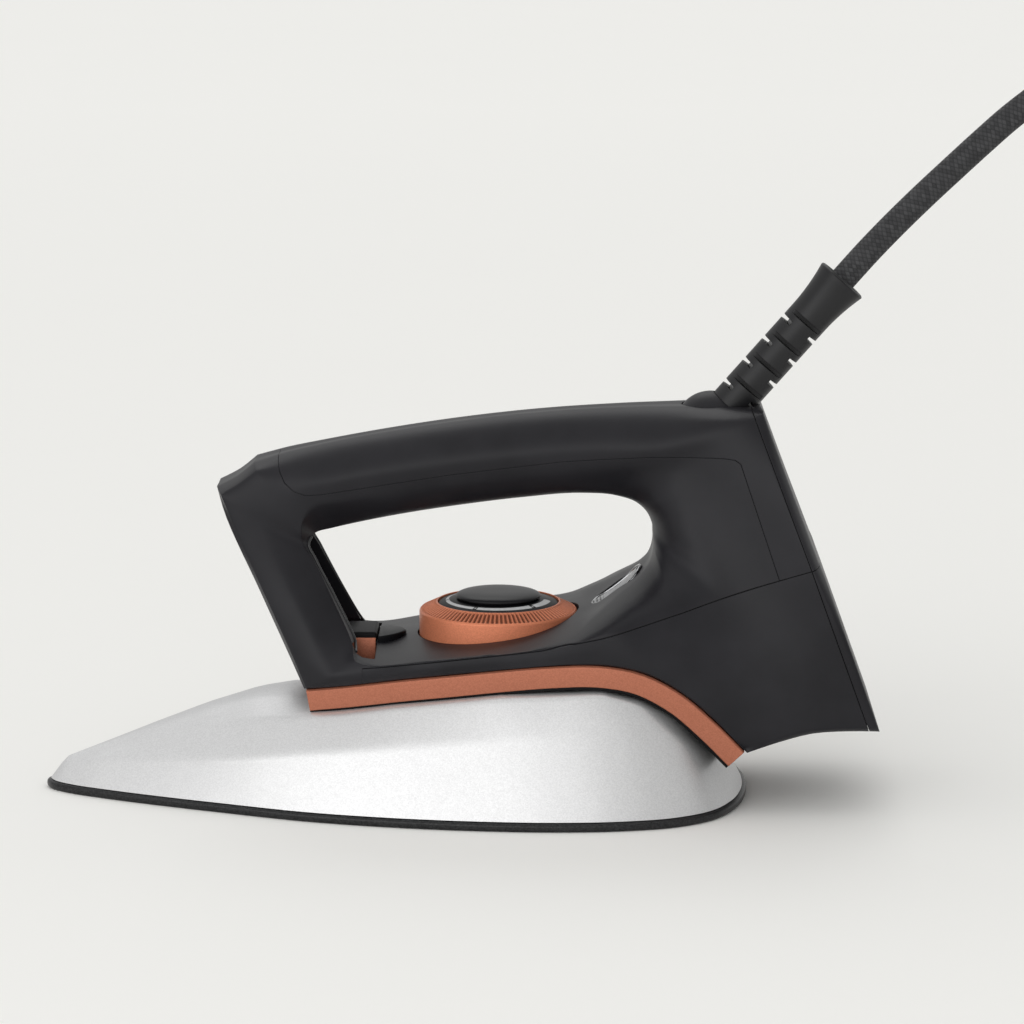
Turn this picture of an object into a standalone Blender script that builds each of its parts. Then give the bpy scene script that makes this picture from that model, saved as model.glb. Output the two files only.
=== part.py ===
# Dry iron: a soleplate under a painted metal cover, a moulded handle body, a dial and a cord on a ball joint.
# Metres, +Z up. The tip points to -X, the heel to +X; the origin is the centre of the soleplate's underside.
import math

import bpy
import numpy as np
from mathutils import Matrix, Vector

# Driving sizes of the whole iron
sole_length = 0.236
sole_width = 0.1206
handle_height = 0.132
gap = 0.0003
overrun = 0.004
shell_wall = 0.0026

# Soleplate and heater
rim_height = 0.0028
rim_round = 0.0008
sole_thickness = 0.0074
sole_step = 0.016
element_radius = 0.0032
element_half_span = 0.019
element_rise = 0.012
element_front_share = -0.33
element_back_share = 0.378
pin_radius = 0.0021
pin_length = 0.007
wire_way = element_half_span + pin_radius * 2

# Painted metal cover
cover_wall = 0.0012
cover_inset = 0.0014

# Copper coloured tray between the cover and the handle body
band_height = 0.0075
tray_floor = 0.002
tray_wall = 0.0025

# Dial
dial_radius = 0.0259
dial_height = 0.0104
dial_bevel = 0.0052
dial_bevel_rise = 0.0027
dial_play = 0.0006
dial_rest_above_deck = 0.0066
disc_radius = 0.0200
disc_thickness = 0.0016
disc_rise = 0.0013
cap_radius = 0.0146
cap_rise = 0.0047
cap_wall_share = 0.53
spindle_radius = 0.003

# Ball joint, sleeve and cord
ball_radius = 0.012
ball_play = 0.00035
sleeve_angle = math.radians(48.8)
sleeve_radius = 0.0069
sleeve_play = 0.0006
sleeve_length = 0.0609
sleeve_root = 0.0045
flare_length = 0.017
flare_radius = 0.0089
slot_width = 0.0015
slot_core = 0.0038
slot_pitch = 0.0096
slot_first = 0.0148
slot_stagger_share = 0.39
slot_pairs = 4
seat_drop_shares = (0.78, 0.25)
cord_radius = 0.0044
lead_radius = 0.0034
wire_radius = 0.0012

# Fasteners
screw_radius = 0.002
screw_head_radius = 0.0037
screw_head_height = 0.0024
screw_slot_width = 0.0009
screw_slot_depth = 0.0009

# Places are shares of the sole's length, the handle's height and half the sole's width
half_width = sole_width / 2


def place(x_share, z_share):
    return x_share * sole_length, z_share * handle_height


# Half outline of the soleplate from the tip to the back: along the length, across the half width
sole_outline_shares = (
    (-0.5, 0.0), (-0.494, 0.072), (-0.468, 0.17), (-0.421, 0.276), (-0.335, 0.438), (-0.23, 0.613),
    (-0.123, 0.78), (0.0, 0.905), (0.12, 0.977), (0.23, 1.0), (0.325, 0.968), (0.395, 0.887),
    (0.448, 0.73), (0.48, 0.49), (0.495, 0.24), (0.499, 0.0))

# Cover: at each place along the length, height and width share of the sole of its two creases
lower_crease_shares = (
    (-0.478, 0.062, 0.55), (-0.42, 0.091, 0.7), (-0.19, 0.146, 0.83), (-0.12, 0.164, 0.828),
    (0.04, 0.196, 0.826), (0.19, 0.222, 0.824), (0.33, 0.232, 0.82), (0.4, 0.2, 0.82), (0.464, 0.125, 0.84))
upper_crease_shares = (
    (-0.468, 0.08, 0.1), (-0.342, 0.152, 0.374), (-0.268, 0.188, 0.47), (-0.195, 0.219, 0.556),
    (-0.124, 0.238, 0.6), (0.008, 0.28, 0.668), (0.15, 0.314, 0.72), (0.29, 0.325, 0.75),
    (0.345, 0.3, 0.77), (0.4, 0.243, 0.8), (0.437, 0.18, 0.82))

# Low dome of the cover ahead of the tray: height along its length, then width and height of its rings
crown_line_shares = (
    (-0.468, 0.0), (-0.342, 0.016), (-0.266, 0.03), (-0.195, 0.037), (-0.14, 0.034), (-0.122, 0.02), (-0.08, 0.0))
crown_ring_shares = ((0.8, 0.28), (0.43, 0.815), (0.15, 0.98))

# Lower edge of the handle body, where the tray begins: along, up, half width
band_line_shares = (
    (-0.121, 0.3015, 0.455), (-0.058, 0.321, 0.54), (0.009, 0.3417, 0.607), (0.082, 0.36, 0.66),
    (0.151, 0.3765, 0.697), (0.22, 0.3894, 0.722), (0.289, 0.3924, 0.73), (0.344, 0.375, 0.725),
    (0.4, 0.3227, 0.708), (0.448, 0.247, 0.672), (0.491, 0.1659, 0.635))

# Handle body, carried round the hand opening: each row holds the inner point and the outer point of a
# section, then its half widths at the inner face, shoulder, middle, outer shoulder and outer face
body_shares = (
    ((-0.1144, 0.669), (-0.2203, 0.818), (0.17, 0.285, 0.31, 0.28, 0.215)),
    ((-0.1195, 0.65), (-0.2449, 0.788), (0.20, 0.25, 0.31, 0.29, 0.23)),
    ((-0.1102, 0.614), (-0.2380, 0.746), (0.215, 0.245, 0.315, 0.30, 0.25)),
    ((-0.0805, 0.509), (-0.1845, 0.53), (0.23, 0.285, 0.385, 0.36, 0.30)),
    ((-0.0551, 0.42), (-0.1412, 0.364), (0.30, 0.39, 0.485, 0.435, 0.37)),
    ((-0.0472, 0.386), (-0.1237, 0.3015), (0.50, 0.55, 0.54, 0.463, 0.435)),
    ((-0.0237, 0.377), (-0.085, 0.313), (0.59, 0.602, 0.575, 0.515, 0.50)),
    ((0.0403, 0.391), (0.025, 0.3465), (0.64, 0.65, 0.65, 0.622, 0.61)),
    ((0.1102, 0.407), (0.102, 0.365), (0.675, 0.688, 0.69, 0.672, 0.66)),
    ((0.2064, 0.432), (0.195, 0.385), (0.706, 0.718, 0.722, 0.716, 0.70)),
    ((0.2458, 0.448), (0.25, 0.3925), (0.63, 0.727, 0.733, 0.728, 0.712)),
    ((0.278, 0.483), (0.305, 0.3895), (0.45, 0.727, 0.735, 0.731, 0.715)),
    ((0.3136, 0.5265), (0.356, 0.3675), (0.31, 0.716, 0.73, 0.725, 0.708)),
    ((0.3425, 0.565), (0.407, 0.314), (0.23, 0.688, 0.713, 0.707, 0.69)),
    ((0.3595, 0.603), (0.4534, 0.239), (0.18, 0.647, 0.693, 0.68, 0.66)),
    ((0.3645, 0.644), (0.4936, 0.1625), (0.155, 0.585, 0.668, 0.65, 0.632)),
    ((0.3644, 0.663), (0.5847, 0.207), (0.15, 0.525, 0.655, 0.66, 0.635)),
    ((0.3644, 0.678), (0.6795, 0.2095), (0.145, 0.475, 0.627, 0.65, 0.60)),
    ((0.3636, 0.692), (0.6385, 0.4318), (0.14, 0.45, 0.597, 0.62, 0.57)),
    ((0.361, 0.708), (0.5905, 0.632), (0.135, 0.405, 0.53, 0.56, 0.50)),
    ((0.3551, 0.7275), (0.5537, 0.803), (0.125, 0.355, 0.45, 0.475, 0.42)),
    ((0.3411, 0.75), (0.5137, 0.99), (0.115, 0.305, 0.37, 0.36, 0.31)),
    ((0.3136, 0.767), (0.4237, 0.9925), (0.11, 0.27, 0.34, 0.275, 0.15)),
    ((0.2627, 0.773), (0.3178, 0.988), (0.10, 0.255, 0.30, 0.225, 0.10)),
    ((0.1822, 0.762), (0.2034, 0.9745), (0.10, 0.255, 0.29, 0.21, 0.09)),
    ((0.0932, 0.742), (0.0932, 0.952), (0.10, 0.255, 0.287, 0.21, 0.09)),
    ((0.0085, 0.718), (-0.0169, 0.9215), (0.10, 0.26, 0.287, 0.21, 0.09)),
    ((-0.0508, 0.697), (-0.1017, 0.8925), (0.10, 0.275, 0.29, 0.215, 0.10)),
    ((-0.089, 0.682), (-0.1525, 0.872), (0.11, 0.286, 0.298, 0.235, 0.125)),
    ((-0.108, 0.675), (-0.1928, 0.8535), (0.135, 0.29, 0.303, 0.265, 0.18)))

# How deep the shoulder, the middle and the outer shoulder lie between inner and outer face, by section
depth_shares = (
    (0.13, 0.50, 0.94), (0.06, 0.50, 0.93), (0.03, 0.50, 0.93), (0.03, 0.50, 0.93), (0.03, 0.50, 0.93),
    (0.04, 0.50, 0.95), (0.04, 0.50, 0.97), (0.06, 0.50, 0.95), (0.06, 0.50, 0.95), (0.06, 0.50, 0.95),
    (0.13, 0.50, 0.95), (0.20, 0.55, 0.95), (0.25, 0.60, 0.95), (0.26, 0.60, 0.95), (0.27, 0.60, 0.95),
    (0.27, 0.60, 0.97), (0.27, 0.60, 0.96), (0.27, 0.60, 0.95), (0.30, 0.65, 0.94), (0.30, 0.65, 0.93),
    (0.30, 0.65, 0.92), (0.30, 0.65, 0.92), (0.28, 0.60, 0.88), (0.28, 0.58, 0.88), (0.28, 0.58, 0.88),
    (0.30, 0.58, 0.88), (0.33, 0.60, 0.88), (0.37, 0.62, 0.88), (0.37, 0.62, 0.90), (0.21, 0.55, 0.93))

# Roundness share of each section: across at the inner and outer face, then along at both
round_shares = (
    (0.0, 0.5, 1.0, 1.0), (0.1, 0.4, 1.0, 0.0), (0.0, 0.3, 1.0, 1.0), (0.0, 0.3, 1.0, 1.0),
    (0.0, 0.3, 1.0, 1.0), (0.0, 0.1, 0.6, 0.0), (0.0, 0.1, 1.0, 1.0), (0.0, 0.1, 1.0, 1.0),
    (0.0, 0.1, 1.0, 1.0), (0.0, 0.1, 1.0, 1.0), (0.15, 0.1, 1.0, 1.0), (0.3, 0.1, 1.0, 1.0),
    (0.5, 0.1, 1.0, 1.0), (0.6, 0.1, 1.0, 1.0), (0.8, 0.1, 1.0, 1.0), (1.0, 0.1, 1.0, 0.0),
    (1.0, 0.1, 1.0, 1.0), (1.0, 0.1, 1.0, 0.0), (1.0, 0.1, 1.0, 1.0), (1.0, 0.1, 1.0, 0.0),
    (1.0, 0.1, 1.0, 1.0), (1.0, 0.3, 1.0, 0.0), (1.0, 1.0, 1.0, 1.0), (1.0, 1.0, 1.0, 1.0),
    (1.0, 1.0, 1.0, 1.0), (1.0, 1.0, 1.0, 1.0), (1.0, 1.0, 1.0, 1.0), (0.3, 1.0, 1.0, 1.0),
    (0.0, 1.0, 1.0, 1.0), (0.0, 0.6, 1.0, 0.0))

# The skirt meets the handle shell along this line, under the edge of the deck and on to the heel
parting_shares = (
    (-0.04, 0.3675), (0.2064, 0.4265), (0.288, 0.4575), (0.3496, 0.486), (0.4059, 0.513), (0.4712, 0.5505),
    (0.5364, 0.5885), (0.597, 0.6255))
# The deck plate of the shell lies inside the skirt's walls, down to this line
insert_front_share = -0.045
insert_back_shares = (0.32, 0.447)
insert_wall = 0.0015
# Outline of the heel and rear faces, from the bottom up
rear_line_shares = ((0.6910, 0.15), (0.6795, 0.2095), (0.593, 0.634), (0.5153, 0.996), (0.4975, 1.08))
# Lower edge of the grip cover, from its front round to the rear panel
cover_edge_shares = (
    (-0.170, 0.95), (-0.163, 0.878), (-0.158, 0.84), (-0.1505, 0.812), (-0.138, 0.791), (-0.122, 0.7805),
    (-0.1, 0.782), (-0.0453, 0.7965), (0.08, 0.832), (0.2331, 0.866), (0.3581, 0.881), (0.46, 0.883),
    (0.476, 0.88), (0.4835, 0.871), (0.541, 0.57), (0.62, 0.57))
seam_start_share = 0.47
cover_front_share = 0.81
# Hollow inside the grip, under the deck, and inside the rear pillar
grip_hollow_shares = (
    (-0.11, 0.715), (0.0085, 0.754), (0.0932, 0.777), (0.1822, 0.797), (0.2627, 0.808), (0.40, 0.80),
    (0.40, 0.958), (0.3178, 0.962), (0.2034, 0.952), (0.0932, 0.93), (-0.0169, 0.898), (-0.10, 0.873),
    (-0.145, 0.845), (-0.14, 0.80))
deck_hollow_shares = (
    (-0.017, 0.15), (-0.017, 0.352), (0.2064, 0.407), (0.262, 0.43), (0.32, 0.455), (0.39, 0.49),
    (0.572, 0.49), (0.628, 0.262), (0.585, 0.241), (0.50, 0.197), (0.47, 0.15))
pillar_hollow_shares = ((0.42, 0.47), (0.42, 0.75), (0.535, 0.75), (0.575, 0.47))
grip_hollow_half = 0.009
deck_hollow_share = 0.514
deck_hollow_half = deck_hollow_share * half_width
pillar_hollow_half = 0.017
swivel_hollow_radius = 0.013
swivel_hollow_shares = (0.72, 0.922)

# Recess behind the front post: its corners at the top and the foot, and its half widths there
recess_shares = ((-0.1161, 0.655), (-0.0515, 0.398))
recess_depth = 0.0105
recess_half_shares = (0.16, 0.265)
pocket_shares = (-0.079, -0.045, -0.034)
pocket_half_shares = (0.3, 0.46, 0.48)
pocket_block_half = 0.0095
pocket_bottom_share = 0.27

rear_plate_depth = 0.0036
heel_flat_inset = 0.0003
dial_share = 0.1458
ball_shares = (0.4445, 0.9348)
lens_shares = ((0.272, 0.4805), (0.292, 0.4985), (0.3136, 0.5245), (0.334, 0.556), (0.3475, 0.588))
lens_half_width = 0.0042
lens_rise = 0.0009
lens_depth = 0.0026
pointer_step = 0.002
pointer_space = 0.005
pointer_half_width = 0.0098
pointer_rise = 0.0026
pointer_form_shares = (
    (0.0, 1.0, 1.0), (0.3, 0.97, 1.0), (0.6, 0.82, 0.9), (0.85, 0.56, 0.66), (1.0, 0.28, 0.35))
front_screw_share = -0.0615
rear_screw_share = 0.3
boss_radius = 0.0055
screw_bite = 0.006

solids = {}


# Materials: colour, roughness and metal of each finish
def finish(name, colour, rough, metal=0.0):
    made = bpy.data.materials.new(name)
    made.use_nodes = True
    shader = made.node_tree.nodes["Principled BSDF"]
    shader.inputs["Base Color"].default_value = (*colour, 1.0)
    shader.inputs["Roughness"].default_value = rough
    shader.inputs["Metallic"].default_value = metal
    made.diffuse_color = (*colour, 1.0)
    return made


def clear_scene():
    for thing in list(bpy.data.objects):
        bpy.data.objects.remove(thing, do_unlink=True)


# A closed mesh object, with its faces turned outwards if its volume comes out negative
def mesh_object(name, points, faces, material=None):
    points = np.asarray(points, float)
    volume = 0.0
    for face in faces:
        first = points[face[0]]
        for second, third in zip(face[1:-1], face[2:]):
            volume += float(np.dot(first, np.cross(points[second], points[third])))
    if volume < 0:
        faces = [tuple(reversed(face)) for face in faces]
    mesh = bpy.data.meshes.new(name)
    mesh.from_pydata([tuple(point) for point in points], [], [tuple(face) for face in faces])
    mesh.update()
    thing = bpy.data.objects.new(name, mesh)
    bpy.context.scene.collection.objects.link(thing)
    if material is None:
        thing.hide_render = True
        thing.display_type = "WIRE"
    else:
        mesh.materials.append(material)
        mesh.shade_smooth()
        mesh.set_sharp_from_angle(angle=math.radians(35))
        solids[name] = thing
    return thing


# Hermite curve through points closed along the first axis; tangents shrink with the roundness there
def refine(points, roundness, steps):
    after = np.roll(points, -1, axis=0)
    before = np.roll(points, 1, axis=0)
    ahead = np.maximum(np.linalg.norm(after - points, axis=-1, keepdims=True), 1e-9)
    behind = np.maximum(np.linalg.norm(points - before, axis=-1, keepdims=True), 1e-9)
    tangent = ((after - points) / ahead * behind + (points - before) / behind * ahead) / (ahead + behind)
    tangent = tangent * roundness[..., None]
    following = np.roll(tangent, -1, axis=0)
    made = []
    for step in range(steps):
        t = step / steps
        start = 2 * t**3 - 3 * t**2 + 1
        made.append(start * points + (1 - start) * after
                    + ahead * ((t**3 - 2 * t**2 + t) * tangent + (t**3 - t**2) * following))
    return np.stack(made, axis=1).reshape(-1, *points.shape[1:])


# Closed ring of quads over a grid whose rows close on themselves; the ends are capped or joined
def grid_faces(rows, columns, joined):
    faces = []
    for row in range(rows if joined else rows - 1):
        for column in range(columns):
            next_row = (row + 1) % rows
            next_column = (column + 1) % columns
            faces.append((row * columns + column, row * columns + next_column,
                          next_row * columns + next_column, next_row * columns + column))
    if not joined:
        faces.append(tuple(reversed(range(columns))))
        faces.append(tuple(range((rows - 1) * columns, rows * columns)))
    return faces


def loft(name, rings, material=None, joined=False):
    rings = np.asarray(rings, float)
    return mesh_object(name, rings.reshape(-1, 3), grid_faces(rings.shape[0], rings.shape[1], joined), material)


# Rings that mirror across Y and start at the tip: their caps are strips from side to side
def mirrored_loft(name, rings, material=None):
    rings = np.asarray(rings, float)
    rows, columns = rings.shape[:2]
    faces = grid_faces(rows, columns, False)[:-2]
    for base, flipped in ((0, True), ((rows - 1) * columns, False)):
        for column in range(columns // 2):
            strip = [column, column + 1, columns - column - 1, (columns - column) % columns]
            strip = [base + corner for corner in dict.fromkeys(strip)]
            faces.append(tuple(reversed(strip)) if flipped else tuple(strip))
    return mesh_object(name, rings.reshape(-1, 3), faces, material)


# Flat outline in X and Z, carried from one Y to another
def prism(name, outline, low, high, material=None):
    rings = [[(x, side, z) for x, z in outline] for side in (low, high)]
    return loft(name, rings, material)


def box(name, low, high, material=None):
    outline = ((low[0], low[2]), (high[0], low[2]), (high[0], high[2]), (low[0], high[2]))
    return prism(name, outline, low[1], high[1], material)


# Turned piece: radius and height pairs round an axis from a point along a direction
def turned(name, profile, centre, direction, material=None, segments=32):
    turn = Vector(direction).normalized().to_track_quat("Z", "Y").to_matrix()
    angles = np.linspace(0, 2 * math.pi, segments, endpoint=False)
    rings = []
    for radius, height in profile:
        ring = np.stack((radius * np.cos(angles), radius * np.sin(angles), np.full(segments, height)), axis=1)
        rings.append(ring @ np.array(turn).T + np.array(centre))
    return loft(name, rings, material)


def cylinder(name, centre, direction, radius, low, high, material=None, segments=32):
    return turned(name, ((radius, low), (radius, high)), centre, direction, material, segments)


def ball(name, centre, radius, material=None, rings=14, segments=28):
    angles = np.linspace(-math.pi / 2, math.pi / 2, rings + 2)[1:-1]
    profile = [(radius * math.cos(a), radius * math.sin(a)) for a in angles]
    return turned(name, profile, centre, (0, 0, 1), material, segments)


def boolean(target, cutter, operation="DIFFERENCE"):
    step = target.modifiers.new(operation.lower(), "BOOLEAN")
    step.operation = operation
    step.object = cutter
    step.solver = "EXACT"
    return target


# Tube along points, with filled caps
def tube(name, points, radius, material, resolution=2):
    curve = bpy.data.curves.new(name, "CURVE")
    curve.dimensions = "3D"
    curve.bevel_depth = radius
    curve.bevel_resolution = resolution
    curve.use_fill_caps = True
    line = curve.splines.new("POLY")
    line.points.add(len(points) - 1)
    for spot, point in zip(line.points, points):
        spot.co = (*point, 1.0)
    curve.materials.append(material)
    thing = bpy.data.objects.new(name, curve)
    bpy.context.scene.collection.objects.link(thing)
    solids[name] = thing
    return thing


# Smooth open curve through route points, read at even steps
def smooth_route(points, count):
    points = np.asarray(points, float)
    before = np.vstack((2 * points[0] - points[1], points[:-1]))
    after = np.vstack((points[1:], 2 * points[-1] - points[-2]))
    lengths = np.linalg.norm(points[1:] - points[:-1], axis=1)
    ahead = np.append(lengths, lengths[-1])[:, None]
    behind = np.insert(lengths, 0, lengths[0])[:, None]
    tangent = ((after - points) / ahead * behind + (points - before) / behind * ahead) / (ahead + behind)
    dense = []
    for index in range(len(points) - 1):
        for t in np.linspace(0, 1, 24, endpoint=False):
            start = 2 * t**3 - 3 * t**2 + 1
            dense.append(start * points[index] + (1 - start) * points[index + 1] + lengths[index]
                         * ((t**3 - 2 * t**2 + t) * tangent[index] + (t**3 - t**2) * tangent[index + 1]))
    dense = np.vstack((dense, points[-1:]))
    run = np.insert(np.cumsum(np.linalg.norm(np.diff(dense, axis=0), axis=1)), 0, 0.0)
    wanted = np.linspace(0, run[-1], count)
    return np.stack([np.interp(wanted, run, dense[:, axis]) for axis in range(3)], axis=1)


def share_line(table, column):
    table = np.array([row for row in table], float)
    return lambda share: np.interp(share, table[:, 0], table[:, column])


# Outline of the soleplate, closed, from the tip round by +Y
def sole_outline():
    half = [(x * sole_length, y * half_width) for x, y in sole_outline_shares]
    points = np.array(half + [(x, -y) for x, y in reversed(half[1:-1])])
    return refine(points, np.ones(len(points)), 2)


def inset_ring(outline, inset, height):
    scale = np.array((1 - inset / (sole_length / 2), 1 - inset / half_width))
    return np.column_stack((outline * scale, np.full(len(outline), height)))


def make_soleplate(coated):
    outline = sole_outline()
    rings = [inset_ring(outline, rim_round, 0.0), inset_ring(outline, 0.0, rim_round),
             inset_ring(outline, 0.0, rim_height - rim_round), inset_ring(outline, rim_round, rim_height),
             inset_ring(outline, sole_step, rim_height), inset_ring(outline, sole_step, sole_thickness)]
    plate = mirrored_loft("soleplate", rings, coated)
    for name, x in zip(("front", "rear"), screw_places()):
        top = boss_top(x)
        boss = cylinder(name + "_boss_form", (x, 0, 0), (0, 0, 1), boss_radius, sole_thickness / 2, top)
        hole = cylinder(name + "_boss_hole", (x, 0, 0), (0, 0, 1), screw_radius + gap,
                        top - screw_bite - overrun / 2, top + overrun)
        boolean(plate, boss, "UNION")
        boolean(plate, hole)


# Cover rings: foot, lower crease, upper crease and the dome above it, shrunk by a wall for the inside
def cover_rings(wall):
    outline = sole_outline()
    foot = inset_ring(outline, cover_inset + wall, rim_height + gap - (overrun if wall else 0.0))
    rings = [foot]
    for table in (lower_crease_shares, upper_crease_shares):
        ends = table[0][0], table[-1][0]
        share = ends[0] + (outline[:, 0] / sole_length + 0.5) * (ends[1] - ends[0])
        height = share_line(table, 1)(share) * handle_height - wall
        across = outline[:, 1] * share_line(table, 2)(share)
        across = np.sign(across) * np.maximum(np.abs(across) - wall, np.abs(across) * 0.2)
        along = share * sole_length * (1 - wall / (sole_length / 2))
        rings.append(np.column_stack((along, across, height)))
    crown = share_line(crown_line_shares, 1)(share) * handle_height
    rings += [np.column_stack((along, across * wide, height + crown * high))
              for wide, high in crown_ring_shares]
    return rings


def make_metal_cover(painted):
    cover = mirrored_loft("metal_cover", cover_rings(0.0), painted)
    boolean(cover, mirrored_loft("metal_cover_inside", cover_rings(cover_wall)))
    top = handle_height / 2
    boolean(cover, cylinder("cover_spindle_hole", (dial_share * sole_length, 0, 0), (0, 0, 1),
                            spindle_radius + dial_play * 2, sole_thickness + overrun, top))
    for x in screw_places():
        boolean(cover, cylinder("cover_screw_hole", (x, 0, 0), (0, 0, 1),
                                boss_radius + gap * 2, sole_thickness + overrun, top))
    pin_x = element_back_share * sole_length
    boolean(cover, box("cover_wire_slot", (pin_x - wire_way / 4, -wire_way, sole_thickness + overrun),
                       (pin_x + wire_way / 4, wire_way, top)))


# Band line with the direction square to it, downwards
def band_frames():
    line = np.array([(*place(x, z), y * half_width) for x, z, y in band_line_shares])
    tangent = np.gradient(line[:, :2], axis=0)
    tangent /= np.linalg.norm(tangent, axis=1, keepdims=True)
    return line, np.column_stack((tangent[:, 1], -tangent[:, 0]))


# Sections across the band line, each corner given by its inset from the side and its depth below the line
def band_rings(corners):
    rings = []
    for (x, z, half), (down_x, down_z) in zip(*band_frames()):
        ring = [(x + down_x * depth, half - inset, z + down_z * depth) for inset, depth in corners]
        rings.append(ring + [(px, -py, pz) for px, py, pz in reversed(ring)])
    return rings


def make_trim_tray(copper):
    tray = loft("trim_tray", band_rings(((gap, gap), (gap, band_height), (tray_wall, band_height),
                                         (tray_wall, tray_floor))), copper)
    low, high = sole_thickness, handle_height / 2
    dial_x = dial_share * sole_length
    around = dial_radius + dial_play * 3
    pin_x = element_back_share * sole_length
    for middle, reach, half in ((dial_x, around, around), (pin_x, wire_way / 2, wire_way)):
        boolean(tray, box("tray_opening", (middle - reach, -half, low), (middle + reach, half, high)))
    for x in screw_places():
        boolean(tray, cylinder("tray_screw_hole", (x, 0, 0), (0, 0, 1),
                               screw_radius + gap * 2, low, high))


# Closed grid of the whole handle body: sections carried round the hand opening
def body_grid(steps_along, steps_across):
    rows = []
    round_across = []
    round_along = []
    for (inner, outer, halves), depths, rounds in zip(body_shares, depth_shares, round_shares):
        inner = np.array(place(*inner))
        outer = np.array(place(*outer))
        spots = [(0.0, 0.0), (0.0, halves[0])]
        spots += [(depth, half) for depth, half in zip(depths, halves[1:4])]
        spots += [(1.0, halves[4]), (1.0, 0.0)]
        spots += [(depth, -half) for depth, half in reversed(spots[1:-1])]
        row = []
        for depth, half in spots:
            x, z = inner + (outer - inner) * depth
            row.append((x, half * half_width, z))
        rows.append(row)
        depth = np.array([spot[0] for spot in spots])
        across = rounds[0] + (rounds[1] - rounds[0]) * depth
        middle = [index for index, spot in enumerate(spots) if abs(spot[1]) < 1e-9 or index in (3, 9)]
        across[middle] = 1.0
        round_across.append(across)
        round_along.append(rounds[2] + (rounds[3] - rounds[2]) * depth**3)
    points = refine(np.array(rows), np.array(round_along), steps_along)
    across = refine(np.array(round_across)[..., None], np.zeros((len(rows), len(rows[0]))), steps_along)[..., 0]
    turned_points = refine(points.transpose(1, 0, 2), across.T, steps_across)
    return turned_points.transpose(1, 0, 2)


def body_form(name, material=None):
    return loft(name, body_grid(2, 2), material, joined=True)


def shifted(outline, right, up):
    return [(x + right, z + up) for x, z in outline]


def placed(shares):
    return [place(x, z) for x, z in shares]


# Volume below the parting line and beside the deck plate, a little larger for the gap
def skirt_region(name, growth):
    line = shifted(placed(parting_shares), 0.0, growth)
    left = line[0][0] - growth
    far = handle_height + sole_length
    outline = [(left, -overrun)] + [(left, line[0][1])] + line[1:] + [(far, line[-1][1]), (far, -overrun)]
    region = prism(name, outline, -sole_width, sole_width)
    well_floor = dial_floor() - tray_floor - insert_wall * 2
    well_end = dial_share * sole_length + dial_radius + dial_play + shell_wall + insert_wall * 2
    back_x, back_z = place(*insert_back_shares)
    back_x = max(back_x, well_end + insert_wall)
    plate = [(insert_front_share * sole_length, well_floor - insert_wall * 2), (well_end, well_floor),
             (well_end + insert_wall, back_z - insert_wall), (back_x - growth, back_z)]
    plate = shifted(plate, 0.0, growth)
    half = deck_hollow_half + insert_wall - growth
    top = handle_height
    insert = prism(name + "_insert", plate + [(plate[-1][0], top), (plate[0][0], top)], -half, half)
    return boolean(region, insert)


# Volume behind the rear line, moved in by a depth
def rear_region(name, depth):
    line = shifted(placed(rear_line_shares), -depth, 0.0)
    far = handle_height + sole_length
    return prism(name, line + [(far, line[-1][1]), (far, line[0][1])], -sole_width, sole_width)


# Volume above the lower edge of the grip cover and, past its corner, behind the seam that runs down
def grip_region(name, growth):
    line = [(x * sole_length - (growth if z > cover_front_share or x > seam_start_share else 0.0),
             z * handle_height - growth) for x, z in cover_edge_shares]
    top = handle_height + overrun * 2
    return prism(name, line + [(line[-1][0], top), (line[0][0], top)], -sole_width, sole_width)


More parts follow.
